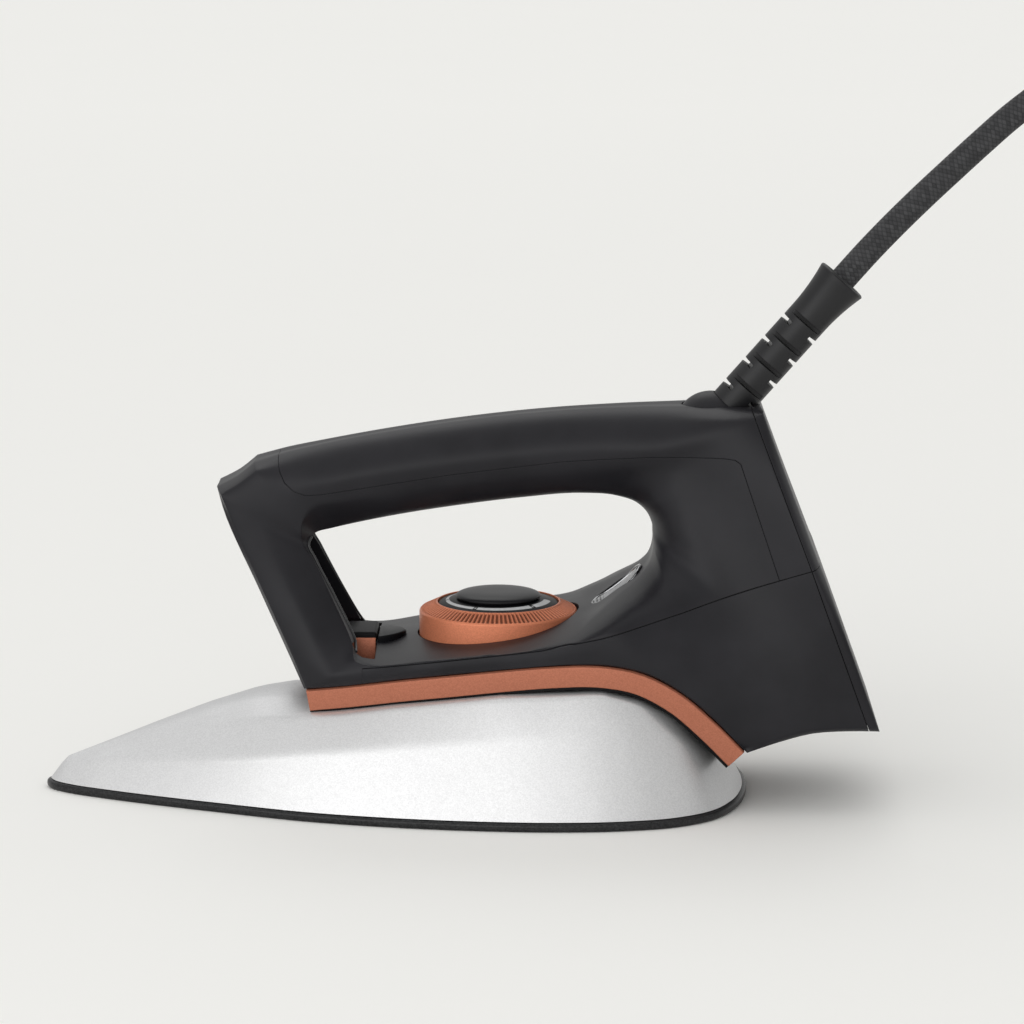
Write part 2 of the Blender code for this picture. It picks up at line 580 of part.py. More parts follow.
def make_body(black, glossy):
    dial_x = dial_share * sole_length
    ball_centre = ball_place()
    below_band = loft("band_clearance", band_rings(((-overrun, 0.0), (-overrun, sole_width / 2))))
    hollow = prism("deck_hollow", placed(deck_hollow_shares), -deck_hollow_half, deck_hollow_half)
    floor = dial_floor()
    boolean(hollow, cylinder("dial_well", (dial_x, 0, 0), (0, 0, 1), dial_radius + dial_play + shell_wall,
                             floor - tray_floor, handle_height))
    hollows = [
        hollow,
        prism("pillar_hollow", placed(pillar_hollow_shares), -pillar_hollow_half, pillar_hollow_half),
        prism("grip_hollow", placed(grip_hollow_shares), -grip_hollow_half, grip_hollow_half),
        cylinder("swivel_hollow", (ball_centre[0], 0, 0), (0, 0, 1), swivel_hollow_radius,
                 *(share * handle_height for share in swivel_hollow_shares)),
        ball("ball_clearance", ball_centre, ball_radius + ball_play, rings=14, segments=28),
        cylinder("sleeve_clearance", ball_centre, sleeve_direction(), sleeve_radius + sleeve_play,
                 0.0, sleeve_length)]
    below = skirt_region("skirt_volume", 0.0)
    below_wide = skirt_region("skirt_volume_wide", gap)
    rear = rear_region("rear_volume", rear_plate_depth)
    rear_wide = rear_region("rear_volume_wide", rear_plate_depth + gap)
    grip = grip_region("grip_volume", 0.0)
    grip_wide = grip_region("grip_volume_wide", gap)

    shell = body_form("handle_shell", black)
    skirt = body_form("body_skirt", black)
    for piece in (shell, skirt):
        boolean(piece, rear_wide)
        boolean(piece, below_band)
    boolean(shell, below_wide)
    boolean(shell, grip_wide)
    boolean(skirt, below, "INTERSECT")
    for cutter in hollows[:4]:
        boolean(shell, cutter)
    boolean(skirt, hollow)
    boolean(skirt, hollows[1])

    cover = body_form("grip_cover", black)
    boolean(cover, grip, "INTERSECT")
    boolean(cover, rear_wide)
    boolean(cover, below_wide)
    for cutter in hollows[1:]:
        boolean(cover, cutter)

    panel = body_form("rear_panel", black)
    boolean(panel, rear, "INTERSECT")
    boolean(panel, below_wide)
    boolean(panel, hollows[-1])
    plate = body_form("heel_plate", black)
    boolean(plate, rear, "INTERSECT")
    boolean(plate, below, "INTERSECT")
    flat = rear_region("heel_flat", heel_flat_inset)
    boolean(plate, flat)

    boolean(shell, cylinder("dial_pocket", (dial_x, 0, 0), (0, 0, 1), dial_radius + dial_play,
                            floor, handle_height * 0.7, segments=48))
    boolean(shell, cylinder("spindle_hole", (dial_x, 0, 0), (0, 0, 1), spindle_radius + dial_play,
                            floor - overrun * 2, floor + overrun))
    cut_screw_holes(shell, plate, skirt)
    cut_post_recess(shell)
    lens_pocket = make_lens("lens_pocket", lens_half_width + gap, overrun, overrun, gap)
    boolean(shell, lens_pocket)
    make_lens("lamp_lens", lens_half_width, lens_rise, lens_depth, material=glossy)


# The channel between the flanges of the front post, and the two slots at its foot
def cut_post_recess(shell):
    (top_x, top_z), (foot_x, foot_z) = placed(recess_shares)
    rings = []
    for x, z, half in ((top_x, top_z, recess_half_shares[0]), (foot_x, foot_z, recess_half_shares[1])):
        wide = half * half_width
        rings.append(((x - recess_depth, wide, z), (x + overrun, wide, z),
                      (x + overrun, -wide, z), (x - recess_depth, -wide, z)))
    boolean(shell, loft("post_recess", rings))
    along = [share * sole_length for share in pocket_shares]
    for side, name in ((1, "pocket_left"), (-1, "pocket_right")):
        plan = [(along[0], side * pocket_block_half), (along[-1], side * pocket_block_half)]
        plan += [(x, side * share * half_width) for x, share in zip(along[::-1], pocket_half_shares[::-1])]
        boolean(shell, loft(name, [[(x, y, z) for x, y in plan] for z in (
            pocket_bottom_share * handle_height, foot_z + overrun / 2)]))


def deck_height(x):
    line = [row[0] for row in body_shares[5:12]]
    return float(np.interp(x, [share[0] * sole_length for share in line],
                           [share[1] * handle_height for share in line]))


def dial_top():
    return deck_height(dial_share * sole_length) + dial_rest_above_deck


def dial_floor():
    return dial_top() - dial_height - dial_play


def ball_place():
    x, z = place(*ball_shares)
    return x, 0.0, z


def sleeve_direction():
    return math.cos(sleeve_angle), 0.0, math.sin(sleeve_angle)


# Lens: a bowed pill that follows the rise behind the deck
def make_lens(name, half, rise, depth, reach=0.0, material=None):
    line = np.array(placed(lens_shares))
    for end, inner in ((0, 1), (-1, -2)):
        away = line[end] - line[inner]
        line[end] += away / np.linalg.norm(away) * reach
    closed = smooth_route(np.column_stack((line[:, 0], np.zeros(len(line)), line[:, 1])), 13)
    tangent = np.gradient(closed, axis=0)
    tangent /= np.linalg.norm(tangent, axis=1, keepdims=True)
    normal = np.column_stack((-tangent[:, 2], np.zeros(len(closed)), tangent[:, 0]))
    run = np.linspace(-1, 1, len(closed))
    widths = half * np.sqrt(np.maximum(1 - np.abs(run) ** 5, 0.16))
    rings = []
    for spot, up, width in zip(closed, normal, widths):
        shape = ((0.0, rise), (width * 0.7, rise * 0.8), (width, 0.0), (width, -depth),
                 (-width, -depth), (-width, 0.0), (-width * 0.7, rise * 0.8))
        rings.append([spot + up * height + np.array((0.0, across, 0.0)) for across, height in shape])
    return loft(name, rings, material)


def turned_ring(name, profile, centre, direction, material, segments=48):
    turn = Vector(direction).normalized().to_track_quat("Z", "Y").to_matrix()
    angles = np.linspace(0, 2 * math.pi, segments, endpoint=False)
    rings = []
    for radius, height in profile:
        ring = np.stack((radius * np.cos(angles), radius * np.sin(angles), np.full(segments, height)), axis=1)
        rings.append(ring @ np.array(turn).T + np.array(centre))
    return loft(name, rings, material, joined=True)


# Slotted screw: the head's underside is at the given point and the shank runs back along the direction
def screw(name, seat, direction, length, steel):
    chamfer = screw_head_height / 4
    profile = ((screw_radius * 0.7, -length), (screw_radius, -length + screw_radius / 2), (screw_radius, 0.0),
               (screw_head_radius, 0.0), (screw_head_radius, screw_head_height - chamfer),
               (screw_head_radius - chamfer, screw_head_height))
    made = turned(name, profile, seat, direction, steel, segments=18)
    up = Vector(direction).normalized()
    top = Vector(seat) + up * screw_head_height
    cutter = box(name + "_slot", (-overrun, -screw_slot_width / 2, -screw_slot_depth),
                 (overrun, screw_slot_width / 2, overrun))
    cutter.data.transform(Matrix.Translation(top) @ up.to_track_quat("Z", "Y").to_matrix().to_4x4())
    boolean(made, cutter)
    return made


def cover_height(x):
    return float(share_line(upper_crease_shares, 1)(x / sole_length)) * handle_height


def tray_height(x):
    return float(np.interp(x / sole_length, [row[0] for row in band_line_shares],
                           [row[1] for row in band_line_shares])) * handle_height


# The rear screw stays clear of the wall round the dial's well
def screw_places():
    well_end = dial_share * sole_length + dial_radius + dial_play + shell_wall
    return (front_screw_share * sole_length,
            max(rear_screw_share * sole_length, well_end + screw_head_radius + gap))


def ledge_height():
    return recess_shares[1][1] * handle_height


def cut_screw_holes(shell, plate, skirt):
    x, _ = screw_places()
    boolean(shell, cylinder("front_screw_hole", (x, 0, 0), (0, 0, 1), screw_radius + gap,
                            tray_height(x) - overrun, ledge_height() + overrun))
    seat, direction = heel_screw_place()
    hole = cylinder("heel_screw_hole", seat, direction, screw_radius + gap, -heel_screw_length() - gap, overrun)
    head = cylinder("heel_head_hole", seat, direction, screw_head_radius + gap, -gap, overrun * 2)
    boolean(plate, hole)
    boolean(plate, head)
    boolean(skirt, hole)


def heel_screw_length():
    return rear_plate_depth * 2


# The heel screw sits half way up the heel plate, square to it
def heel_screw_place():
    low, high = (np.array(place(*spot)) for spot in rear_line_shares[1:3])
    middle = (low + high) / 2
    along = (high - low) / np.linalg.norm(high - low)
    outward = np.array((along[1], -along[0]))
    seat = middle - outward * (heel_flat_inset + screw_head_height + gap)
    return (seat[0], 0.0, seat[1]), (outward[0], 0.0, outward[1])


def make_dial(copper, disc_black, glossy, steel):
    x = dial_share * sole_length
    top = dial_top()
    base = top - dial_height
    inner = dial_radius - dial_bevel
    crown = top + dial_bevel_rise
    seat = crown - disc_thickness - gap * 2
    edge = dial_play
    hub = spindle_radius + gap
    turned_ring("dial_ring", ((hub, base), (dial_radius - edge, base), (dial_radius, base + edge),
                              (dial_radius, top), (inner, crown), (disc_radius + gap, crown),
                              (disc_radius + gap, seat), (hub, seat)), (x, 0, 0), (0, 0, 1), copper, 44)
    turned_ring("dial_disc", ((cap_radius + gap, seat + gap), (disc_radius, seat + gap),
                              (disc_radius, seat + gap + disc_thickness),
                              (cap_radius + gap, seat + gap + disc_thickness + disc_rise)),
                (x, 0, 0), (0, 0, 1), disc_black)
    dome = [(cap_radius, seat + gap), (cap_radius, seat + gap + disc_thickness + cap_rise * cap_wall_share)]
    for angle in np.linspace(0, math.pi / 2, 6)[1:]:
        dome.append((max(cap_radius * math.cos(angle) ** 0.6, cap_radius / 6),
                     seat + gap + disc_thickness
                     + cap_rise * (cap_wall_share + (1 - cap_wall_share) * math.sin(angle))))
    turned("dial_cap", dome, (x, 0, 0), (0, 0, 1), glossy, 36)
    cylinder("dial_spindle", (x, 0, 0), (0, 0, 1), spindle_radius, thermostat_top() + gap, seat - gap,
             steel, 20)


def make_pointer(glossy):
    start = pocket_shares[-1] * sole_length + pointer_step
    length = dial_share * sole_length - dial_radius - pointer_space - start
    rings = []
    for along, width, rise in pointer_form_shares:
        x = start + along * length
        low = deck_height(x) + gap
        high = low + pointer_rise * rise
        side = pointer_half_width * width
        lip = side * 0.92
        rings.append(((x, side, low), (x, side, (low + high) / 2), (x, lip, high),
                      (x, -lip, high), (x, -side, (low + high) / 2), (x, -side, low)))
    loft("dial_pointer", rings, glossy)


def make_swivel(rubber, black):
    centre = ball_place()
    direction = sleeve_direction()
    joint = ball("swivel_ball", centre, ball_radius, black)
    boolean(joint, cylinder("ball_hole", centre, direction, sleeve_radius + gap, sleeve_root - gap,
                            sleeve_length, segments=32))
    reach = ball_radius + ball_play
    outer = swivel_hollow_radius - gap
    drops = np.linspace(*seat_drop_shares, 5)
    profile = [(outer, -reach * drops[0])]
    profile += [(reach * math.sqrt(1 - drop**2) + gap / 3, -reach * drop) for drop in drops]
    profile.append((outer, -reach * drops[-1]))
    turned_ring("swivel_seat", profile, centre, (0, 0, 1), black, 32)

    flare_start = sleeve_length + sleeve_root - flare_length
    shape = [(sleeve_radius, sleeve_root), (sleeve_radius, flare_start)]
    for share in (0.3, 0.55, 0.78, 0.94, 1.0):
        wide = sleeve_radius + (flare_radius - sleeve_radius) * share**2
        shape.append((wide, flare_start + flare_length * share))
    sleeve = turned("cord_sleeve", shape, centre, direction, rubber, 32)
    turn = Vector(direction).to_track_quat("Z", "Y").to_matrix().to_4x4()
    for pair in range(slot_pairs):
        for shift, across in ((0.0, 0), (slot_stagger_share, 1)):
            height = slot_first + (pair + shift) * slot_pitch
            for side in (1, -1):
                near, far = sorted((side * slot_core, side * (flare_radius + overrun)))
                wide = sleeve_radius * 0.8
                low = [near, -wide] if across else [-wide, near]
                high = [far, wide] if across else [wide, far]
                cutter = box("sleeve_slot", (*low, height - slot_width / 2), (*high, height + slot_width / 2))
                cutter.data.transform(Matrix.Translation(centre) @ turn)
                boolean(sleeve, cutter)


def sleeve_exit():
    centre = np.array(ball_place())
    return centre + np.array(sleeve_direction()) * (sleeve_length + sleeve_root)


# Heater, thermostat and fuse on the soleplate
def thermostat_top():
    return sole_thickness + gap * 3 + thermostat_base_height + thermostat_stack_height + blade_thickness


thermostat_base_length = 0.022
thermostat_base_width = 0.018
thermostat_base_height = 0.005
thermostat_stack_radius = 0.004
thermostat_stack_height = 0.009
blade_length = 0.02
blade_width = 0.007
blade_thickness = 0.0009
fuse_radius = 0.0026
fuse_length = 0.018
fuse_share = 0.236
clip_width = 0.006
clip_thickness = 0.0008


def make_heater(steel, ceramic, brass):
    level = sole_thickness + gap + element_radius
    front = element_front_share * sole_length
    back = element_back_share * sole_length
    half = element_half_span
    rise = level + element_rise
    thick = element_radius
    side = [(back, half, rise), (back, half, (rise + level + thick) / 2), (back - thick * 0.6, half, level + thick),
            (back - thick * 1.8, half, level + thick * 0.3), (back - thick * 3.2, half, level + thick * 0.04),
            (back - thick * 4.6, half, level), (back - half * 2, half, level), (0.0, half * 1.1, level),
            (front + half * 1.6, half * 0.75, level), (front + half * 0.5, half * 0.42, level)]
    route = side + [(front, 0.0, level)] + [(x, -y, z) for x, y, z in reversed(side)]
    tube("heating_element", smooth_route(route, 48), element_radius, steel, 1)
    for name, place_y in (("element_pin_left", half), ("element_pin_right", -half)):
        cylinder(name, (back, place_y, 0), (0, 0, 1), pin_radius, rise + gap, rise + gap + pin_length, brass, 16)

    x = dial_share * sole_length
    low = sole_thickness + gap
    high = low + thermostat_base_height
    box("thermostat_base", (x - thermostat_base_length / 2, -thermostat_base_width / 2, low),
        (x + thermostat_base_length / 2, thermostat_base_width / 2, high), steel)
    stack_x = x - thermostat_base_length / 2 + thermostat_stack_radius + gap
    cylinder("thermostat_stack", (stack_x, 0, 0), (0, 0, 1), thermostat_stack_radius, high + gap,
             high + gap + thermostat_stack_height, ceramic, 24)
    blade = high + gap * 2 + thermostat_stack_height
    box("thermostat_blade", (stack_x - thermostat_stack_radius, -blade_width / 2, blade),
        (stack_x - thermostat_stack_radius + blade_length, blade_width / 2, blade + blade_thickness), brass)

    fuse_z = sole_thickness + gap + fuse_radius
    reach = fuse_radius + gap + clip_thickness
    fuse_x = max(fuse_share * sole_length, x + thermostat_base_length / 2 + gap + reach * 2)
    cylinder("thermal_fuse", (fuse_x, 0, fuse_z), (0, 1, 0), fuse_radius, -fuse_length / 2, fuse_length / 2,
             ceramic, 20)
    clip = box("fuse_clip", (fuse_x - reach * 2, -clip_width / 2, sole_thickness + gap),
               (fuse_x + reach, clip_width / 2, fuse_z + reach), steel)
    inner = fuse_radius + gap
    boolean(clip, box("clip_channel", (fuse_x - inner, -clip_width, sole_thickness - overrun),
                      (fuse_x + inner, clip_width, fuse_z + inner)))
    boolean(clip, box("clip_step", (fuse_x - reach * 3, -clip_width, sole_thickness + gap + clip_thickness),
                      (fuse_x - reach, clip_width, fuse_z + reach * 2)))


terminal_shares = (0.508, 0.562)
terminal_half_width = 0.012
terminal_top_share = 0.44
clamp_height = 0.006
clamp_screw_span = 0.008
lead_drop = 0.0012
lamp_radius = 0.0027
lamp_share = 0.3
lamp_bottom_share = 0.425


def make_wiring(black, cream, brass, steel, glass, colours):
    left, right = (share * sole_length for share in terminal_shares)
    middle = (left + right) / 2
    top = terminal_top_share * handle_height
    floor = [place(x, z) for x, z in deck_hollow_shares[-2:-5:-1]]
    floor_x, floor_z = np.array(floor).T
    outline = [(x, float(np.interp(x, floor_x, floor_z)) + gap) for x in (left, right)]
    block = prism("terminal_block", outline + [(right, top), (left, top)], -terminal_half_width,
                  terminal_half_width, cream)
    clamp = box("cord_clamp", (left + gap, -terminal_half_width, top + gap),
                (right - gap, terminal_half_width, top + gap + clamp_height), black)
    boolean(clamp, cylinder("clamp_bore", (middle, 0, 0), (0, 0, 1), lead_radius + gap, top - overrun,
                            top + overrun * 3))
    for name, side in (("clamp_screw_left", 1), ("clamp_screw_right", -1)):
        y = side * clamp_screw_span
        hole = cylinder(name + "_hole", (middle, y, 0), (0, 0, 1), screw_radius + gap, top - screw_bite - gap,
                        top + overrun * 3)
        boolean(block, hole)
        boolean(clamp, hole)
        screw(name, (middle, y, top + gap * 2 + clamp_height), (0, 0, 1), clamp_height + screw_bite, steel)

    ball_x, _, ball_z = ball_place()
    start = ball_z - ball_radius - lead_drop
    bottom = top + gap * 2
    reach = start - bottom
    lead = [(ball_x, 0, start), (ball_x, 0, start - reach * 0.12), (ball_x + (middle - ball_x) * 0.25, 0,
            start - reach * 0.3), (ball_x + (middle - ball_x) * 0.75, 0, start - reach * 0.52),
            (middle, 0, bottom + clamp_height * 2.1), (middle, 0, bottom + clamp_height * 1.2), (middle, 0, bottom)]
    tube("inner_lead", smooth_route(lead, 22), lead_radius, black, 2)

    pin_x = element_back_share * sole_length
    pin_top = sole_thickness + gap * 3 + element_radius + element_rise + pin_length
    leave = left - gap
    drop = (top + outline[0][1]) / 2
    over = tray_height(pin_x) - tray_floor
    for name, side, colour in (("wire_live", 1, colours[0]), ("wire_neutral", -1, colours[1])):
        y = side * element_half_span
        route = [(leave, y * 0.45, drop), (leave - wire_radius * 4, y * 0.45, drop),
                 (pin_x + (leave - pin_x) * 0.45, y * 0.75, over + wire_radius),
                 (pin_x + wire_radius * 2, y, over - wire_radius * 2), (pin_x, y, (pin_top + over) / 2),
                 (pin_x, y, pin_top)]
        tube(name, smooth_route(route, 20), wire_radius, colour, 1)
    ground = sole_thickness + gap
    route = [(leave, 0, drop), (leave - wire_radius * 4, 0, drop),
             (pin_x + (leave - pin_x) * 0.45, 0, over + wire_radius),
             (pin_x + wire_radius * 2, 0, over - wire_radius * 3),
             (pin_x, 0, (ground + over) / 2), (pin_x, 0, ground)]
    tube("wire_earth", smooth_route(route, 20), wire_radius, colours[2], 1)

    lamp_x = lamp_share * sole_length
    lens_line = np.array(placed(lens_shares)).T
    lens_low = float(np.interp(lamp_x - lamp_radius, *lens_line)) - lens_depth * 1.6
    cylinder("neon_lamp", (lamp_x, 0, 0), (0, 0, 1), lamp_radius, lamp_bottom_share * handle_height, lens_low,
             glass, 20)
    boolean(solids["handle_shell"], cylinder("lamp_hole", (lamp_x, 0, 0), (0, 0, 1), lamp_radius + gap,
                                             lamp_bottom_share * handle_height - overrun, lens_low + overrun))


# Bushes and screws that hold the tray and the cover to the soleplate's two posts
def make_fixings(steel, brass):
    for end, x in zip(("front", "rear"), screw_places()):
        low = max(cover_height(x - boss_radius), cover_height(x + boss_radius)) + gap
        high = min(tray_height(x - boss_radius), tray_height(x + boss_radius)) - tray_floor - gap * 2
        turned_ring(end + "_bush", ((screw_radius + gap, low), (boss_radius, low), (boss_radius, high),
                                    (screw_radius + gap, high)), (x, 0, 0), (0, 0, 1), brass, 20)
        seat = ledge_height() if end == "front" else tray_height(x)
        bottom = boss_top(x) - screw_bite
        screw(end + "_screw", (x, 0, seat + gap), (0, 0, 1), seat + gap - bottom, steel)
    seat, direction = heel_screw_place()
    screw("heel_screw", seat, direction, heel_screw_length(), steel)


def boss_top(x):
    return min(cover_height(x - boss_radius), cover_height(x + boss_radius)) - cover_wall - gap


# Cord: free run, coil, tail and plug. The coil lies beyond the heel, its layers spiral in and out again
coil_centre = (0.342, 0.0)
coil_outer = 0.058
coil_spare = 0.0007
coil_turns = 2
coil_points = 24
floor_gap = 0.0002
plug_radius = 0.0165
plug_body = 0.034
plug_relief = 0.026
plug_relief_radius = 0.0062
plug_pin_radius = 0.0024
plug_pin_length = 0.019
plug_pin_spacing = 0.019
plug_pin_seat = 0.006
run_route = (
    (0.186, 0.0, 0.2115), (0.208, -0.001, 0.231), (0.2226, -0.003, 0.2406), (0.2398, -0.006, 0.2442),
    (0.257, -0.010, 0.2408), (0.2716, -0.015, 0.231), (0.2814, -0.020, 0.2164), (0.285, -0.025, 0.199),
    (0.2852, -0.033, 0.165), (0.284, -0.041, 0.125), (0.2832, -0.048, 0.085), (0.2838, -0.0535, 0.05),
    (0.2876, -0.056, 0.0305), (0.2965, -0.0574, 0.0169), (0.3099, -0.058, 0.008), (0.3232, -0.058, 0.0048))
tail_route = (
    (0.0352, -0.0525, 0.0165), (0.0488, -0.0365, 0.0212), (0.0525, -0.0145, 0.0264), (0.0450, 0.0095, 0.0312),
    (0.0320, 0.0225, 0.0345))
tail_end = (0.0091, 0.0265, 0.0362)


def coil_line():
    pitch = 2 * cord_radius + coil_spare
    level = cord_radius + floor_gap
    turns = coil_turns * 2
    angle = np.linspace(0, 2 * math.pi * turns, coil_points * turns + 1)
    middle = math.pi * turns
    radius = coil_outer - pitch * (middle - np.abs(angle - middle)) / (2 * math.pi)
    climb = np.clip((angle - middle) / math.pi + 0.5, 0, 1)
    height = level + pitch * climb * climb * (3 - 2 * climb)
    turn = angle - math.pi / 2
    points = np.stack((coil_centre[0] + radius * np.cos(turn),
                       coil_centre[1] + radius * np.sin(turn), height), 1)
    straight = np.array((2 * cord_radius, 0.0, 0.0))
    return np.vstack((points[:1] - straight, points, points[-1:] + straight))


# Least gap of the coil to itself, past its own neighbourhood along the line
def report_coil_gap(line):
    steps = np.linspace(0, 1, 6, endpoint=False)[:, None, None]
    dense = (line[:-1] + steps * (line[1:] - line[:-1])).transpose(1, 0, 2).reshape(-1, 3)
    run = np.insert(np.cumsum(np.linalg.norm(np.diff(dense, axis=0), axis=1)), 0, 0.0)
    apart = np.linalg.norm(dense[:, None] - dense[None], axis=-1)
    apart[np.abs(run[:, None] - run[None]) < 6 * cord_radius] = 1.0
    least = apart.min() - 2 * cord_radius
    print("least gap of the coil to itself, mm:", round(least * 1000, 3))


def length_of(points):
    return float(np.linalg.norm(np.diff(np.asarray(points), axis=0), axis=1).sum())


def make_cord(braid, black, steel):
    coil = coil_line()
    report_coil_gap(coil)
    tube("cord_coil", coil, cord_radius, braid, 1)
    end_gap = np.array((gap, 0.0, 0.0))
    leave = np.array(sleeve_direction())
    route = [sleeve_exit() + leave * gap, sleeve_exit() + leave * cord_radius * 2]
    route += [np.array(point) for point in run_route] + [coil[0] - end_gap]
    run = smooth_route(route, 34)
    tube("cord_run", run, cord_radius, braid, 2)
    centre = np.array((*coil_centre, 0.0))
    straight = np.array((2 * cord_radius, 0.0, 0.0))
    first = coil[-1] + end_gap
    last = centre + np.array(tail_end)
    route = [first, first + straight / 2, first + straight]
    route += [centre + np.array(point) for point in tail_route] + [last + straight, last + straight / 2, last]
    tail = smooth_route(route, 20)
    tube("cord_tail", tail, cord_radius, braid, 2)
    total = length_of(run) + length_of(coil) + length_of(tail)
    print("cord length, m:", round(total, 4), round(length_of(run), 3), round(length_of(tail), 3))

    start = centre + np.array(tail_end) - end_gap
    shape = ((cord_radius + gap * 2, 0.0), (plug_relief_radius, plug_relief * 0.5),
             (plug_relief_radius * 1.25, plug_relief), (plug_radius * 0.72, plug_relief + plug_body * 0.08),
             (plug_radius * 0.95, plug_relief + plug_body * 0.4), (plug_radius, plug_relief + plug_body * 0.62),
             (plug_radius, plug_relief + plug_body * 0.97), (plug_radius * 0.97, plug_relief + plug_body))
    plug = turned("plug_body", shape, start, (-1, 0, 0), black, 28)
    face = start + np.array((-(plug_relief + plug_body), 0.0, 0.0))
    for name, side in (("plug_pin_left", 1), ("plug_pin_right", -1)):
        seat = face + np.array((0.0, side * plug_pin_spacing / 2, 0.0))
        boolean(plug, cylinder(name + "_hole", seat, (-1, 0, 0), plug_pin_radius + gap, -plug_pin_seat, overrun))
        tip = plug_pin_length
        turned(name, ((plug_pin_radius, gap - plug_pin_seat), (plug_pin_radius, tip - plug_pin_radius),
                      (plug_pin_radius * 0.85, tip - plug_pin_radius * 0.35), (plug_pin_radius * 0.45, tip)),
               seat, (-1, 0, 0), steel, 16)


# A moving piece keeps its own origin on its joint's axis
def seat_origin(name, point):
    thing = solids[name]
    thing.data.transform(Matrix.Translation(-Vector(point)))
    thing.location = point


def main():
    clear_scene()
    coated = finish("coated sole", (0.035, 0.035, 0.038), 0.4)
    painted = finish("silver paint", (0.78, 0.78, 0.79), 0.38, 0.35)
    copper = finish("copper paint", (0.48, 0.17, 0.1), 0.4, 0.35)
    black = finish("black plastic", (0.035, 0.035, 0.038), 0.45)
    glossy = finish("gloss black", (0.015, 0.015, 0.017), 0.15)
    steel = finish("plated steel", (0.6, 0.6, 0.6), 0.3, 0.9)
    brass = finish("brass", (0.7, 0.5, 0.2), 0.35, 0.9)
    ceramic = finish("ceramic", (0.8, 0.78, 0.72), 0.5)
    cream = finish("terminal plastic", (0.75, 0.7, 0.58), 0.5)
    glass = finish("lamp glass", (0.8, 0.35, 0.15), 0.1)
    rubber = finish("sleeve rubber", (0.02, 0.02, 0.022), 0.5)
    braid = finish("cord braid", (0.06, 0.06, 0.063), 0.8)
    wires = (finish("brown wire", (0.2, 0.08, 0.03), 0.5), finish("blue wire", (0.03, 0.1, 0.4), 0.5),
             finish("green wire", (0.1, 0.35, 0.08), 0.5))
    make_soleplate(coated)
    make_metal_cover(painted)
    make_trim_tray(copper)
    make_body(black, glossy)
    make_dial(copper, black, glossy, steel)
    make_pointer(glossy)
    make_swivel(rubber, black)
    make_heater(steel, ceramic, brass)
    make_wiring(black, cream, brass, steel, glass, wires)
    make_fixings(steel, brass)
    make_cord(braid, black, steel)
    for name in ("dial_ring", "dial_disc", "dial_cap", "dial_spindle"):
        seat_origin(name, (dial_share * sole_length, 0, dial_top() - dial_height / 2))
    for name in ("swivel_ball", "cord_sleeve"):
        seat_origin(name, ball_place())


main()
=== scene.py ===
# Dry iron: every surface and finish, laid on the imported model. Metres, the tip points to -X, the heel to +X.
import math
import bpy
import numpy as np
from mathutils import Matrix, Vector


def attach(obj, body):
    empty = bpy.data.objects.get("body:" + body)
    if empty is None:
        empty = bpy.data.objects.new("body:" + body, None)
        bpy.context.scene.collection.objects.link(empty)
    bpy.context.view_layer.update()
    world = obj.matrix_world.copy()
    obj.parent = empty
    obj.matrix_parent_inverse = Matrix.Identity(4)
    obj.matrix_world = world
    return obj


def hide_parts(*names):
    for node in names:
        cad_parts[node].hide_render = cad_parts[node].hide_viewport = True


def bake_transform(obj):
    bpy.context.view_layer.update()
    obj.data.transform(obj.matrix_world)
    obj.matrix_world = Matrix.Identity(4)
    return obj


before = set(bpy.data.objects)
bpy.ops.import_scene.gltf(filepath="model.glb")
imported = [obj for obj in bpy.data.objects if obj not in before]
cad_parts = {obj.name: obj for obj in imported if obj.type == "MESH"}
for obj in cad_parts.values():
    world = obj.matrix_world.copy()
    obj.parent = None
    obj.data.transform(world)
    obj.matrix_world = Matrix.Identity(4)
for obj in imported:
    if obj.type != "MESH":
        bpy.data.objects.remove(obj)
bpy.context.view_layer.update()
print("frame loaded")

ironSize = {"soleLength": 0.236, "soleWidth": 0.1206, "handleHeight": 0.132, "gap": 0.0003, "overrun": 0.004}
soleLength, halfWidth = ironSize["soleLength"], ironSize["soleWidth"] / 2
handleHeight, gap, overrun = ironSize["handleHeight"], ironSize["gap"], ironSize["overrun"]


# Finishes: small helpers that add nodes to the tree of the node or socket that they are given
def newFinish(name, colour, rough, metal=0.0, specular=0.5):
    finish = bpy.data.materials.new(name)
    finish.use_nodes = True
    shader = finish.node_tree.nodes["Principled BSDF"]
    for key, value in (("Base Color", colour), ("Roughness", rough), ("Metallic", metal),
                       ("Specular IOR Level", specular)):
        feed(shader.inputs[key], value)
    finish.diffuse_color = (*colour, 1.0)
    return finish, shader


def isSocket(value):
    return hasattr(value, "is_linked")


# Gives an input a plain value, a colour, or another node's output
def feed(entry, value):
    if isSocket(value):
        value.id_data.links.new(value, entry)
    else:
        entry.default_value = (*value, 1.0) if entry.type == "RGBA" else value


def addNode(near, kind, **settings):
    node = near.id_data.nodes.new("ShaderNode" + kind)
    for key, value in settings.items():
        if hasattr(node, key):
            setattr(node, key, value)
        else:
            feed(node.inputs[key], value)
    return node


def objectPlace(near, scale=(1, 1, 1), shift=(0, 0, 0)):
    source = addNode(near, "TexCoord").outputs["Object"]
    return mapped(source, scale, shift)


def mapped(vector, scale, shift=(0, 0, 0)):
    return addNode(vector, "Mapping", Vector=vector, Scale=scale, Location=shift).outputs["Vector"]


def noiseAt(spot, scale, detail=3.0, rough=0.5):
    return addNode(spot, "TexNoise", Vector=spot, Scale=scale, Detail=detail, Roughness=rough).outputs["Fac"]


def partsOf(vector):
    return addNode(vector, "SeparateXYZ", Vector=vector).outputs


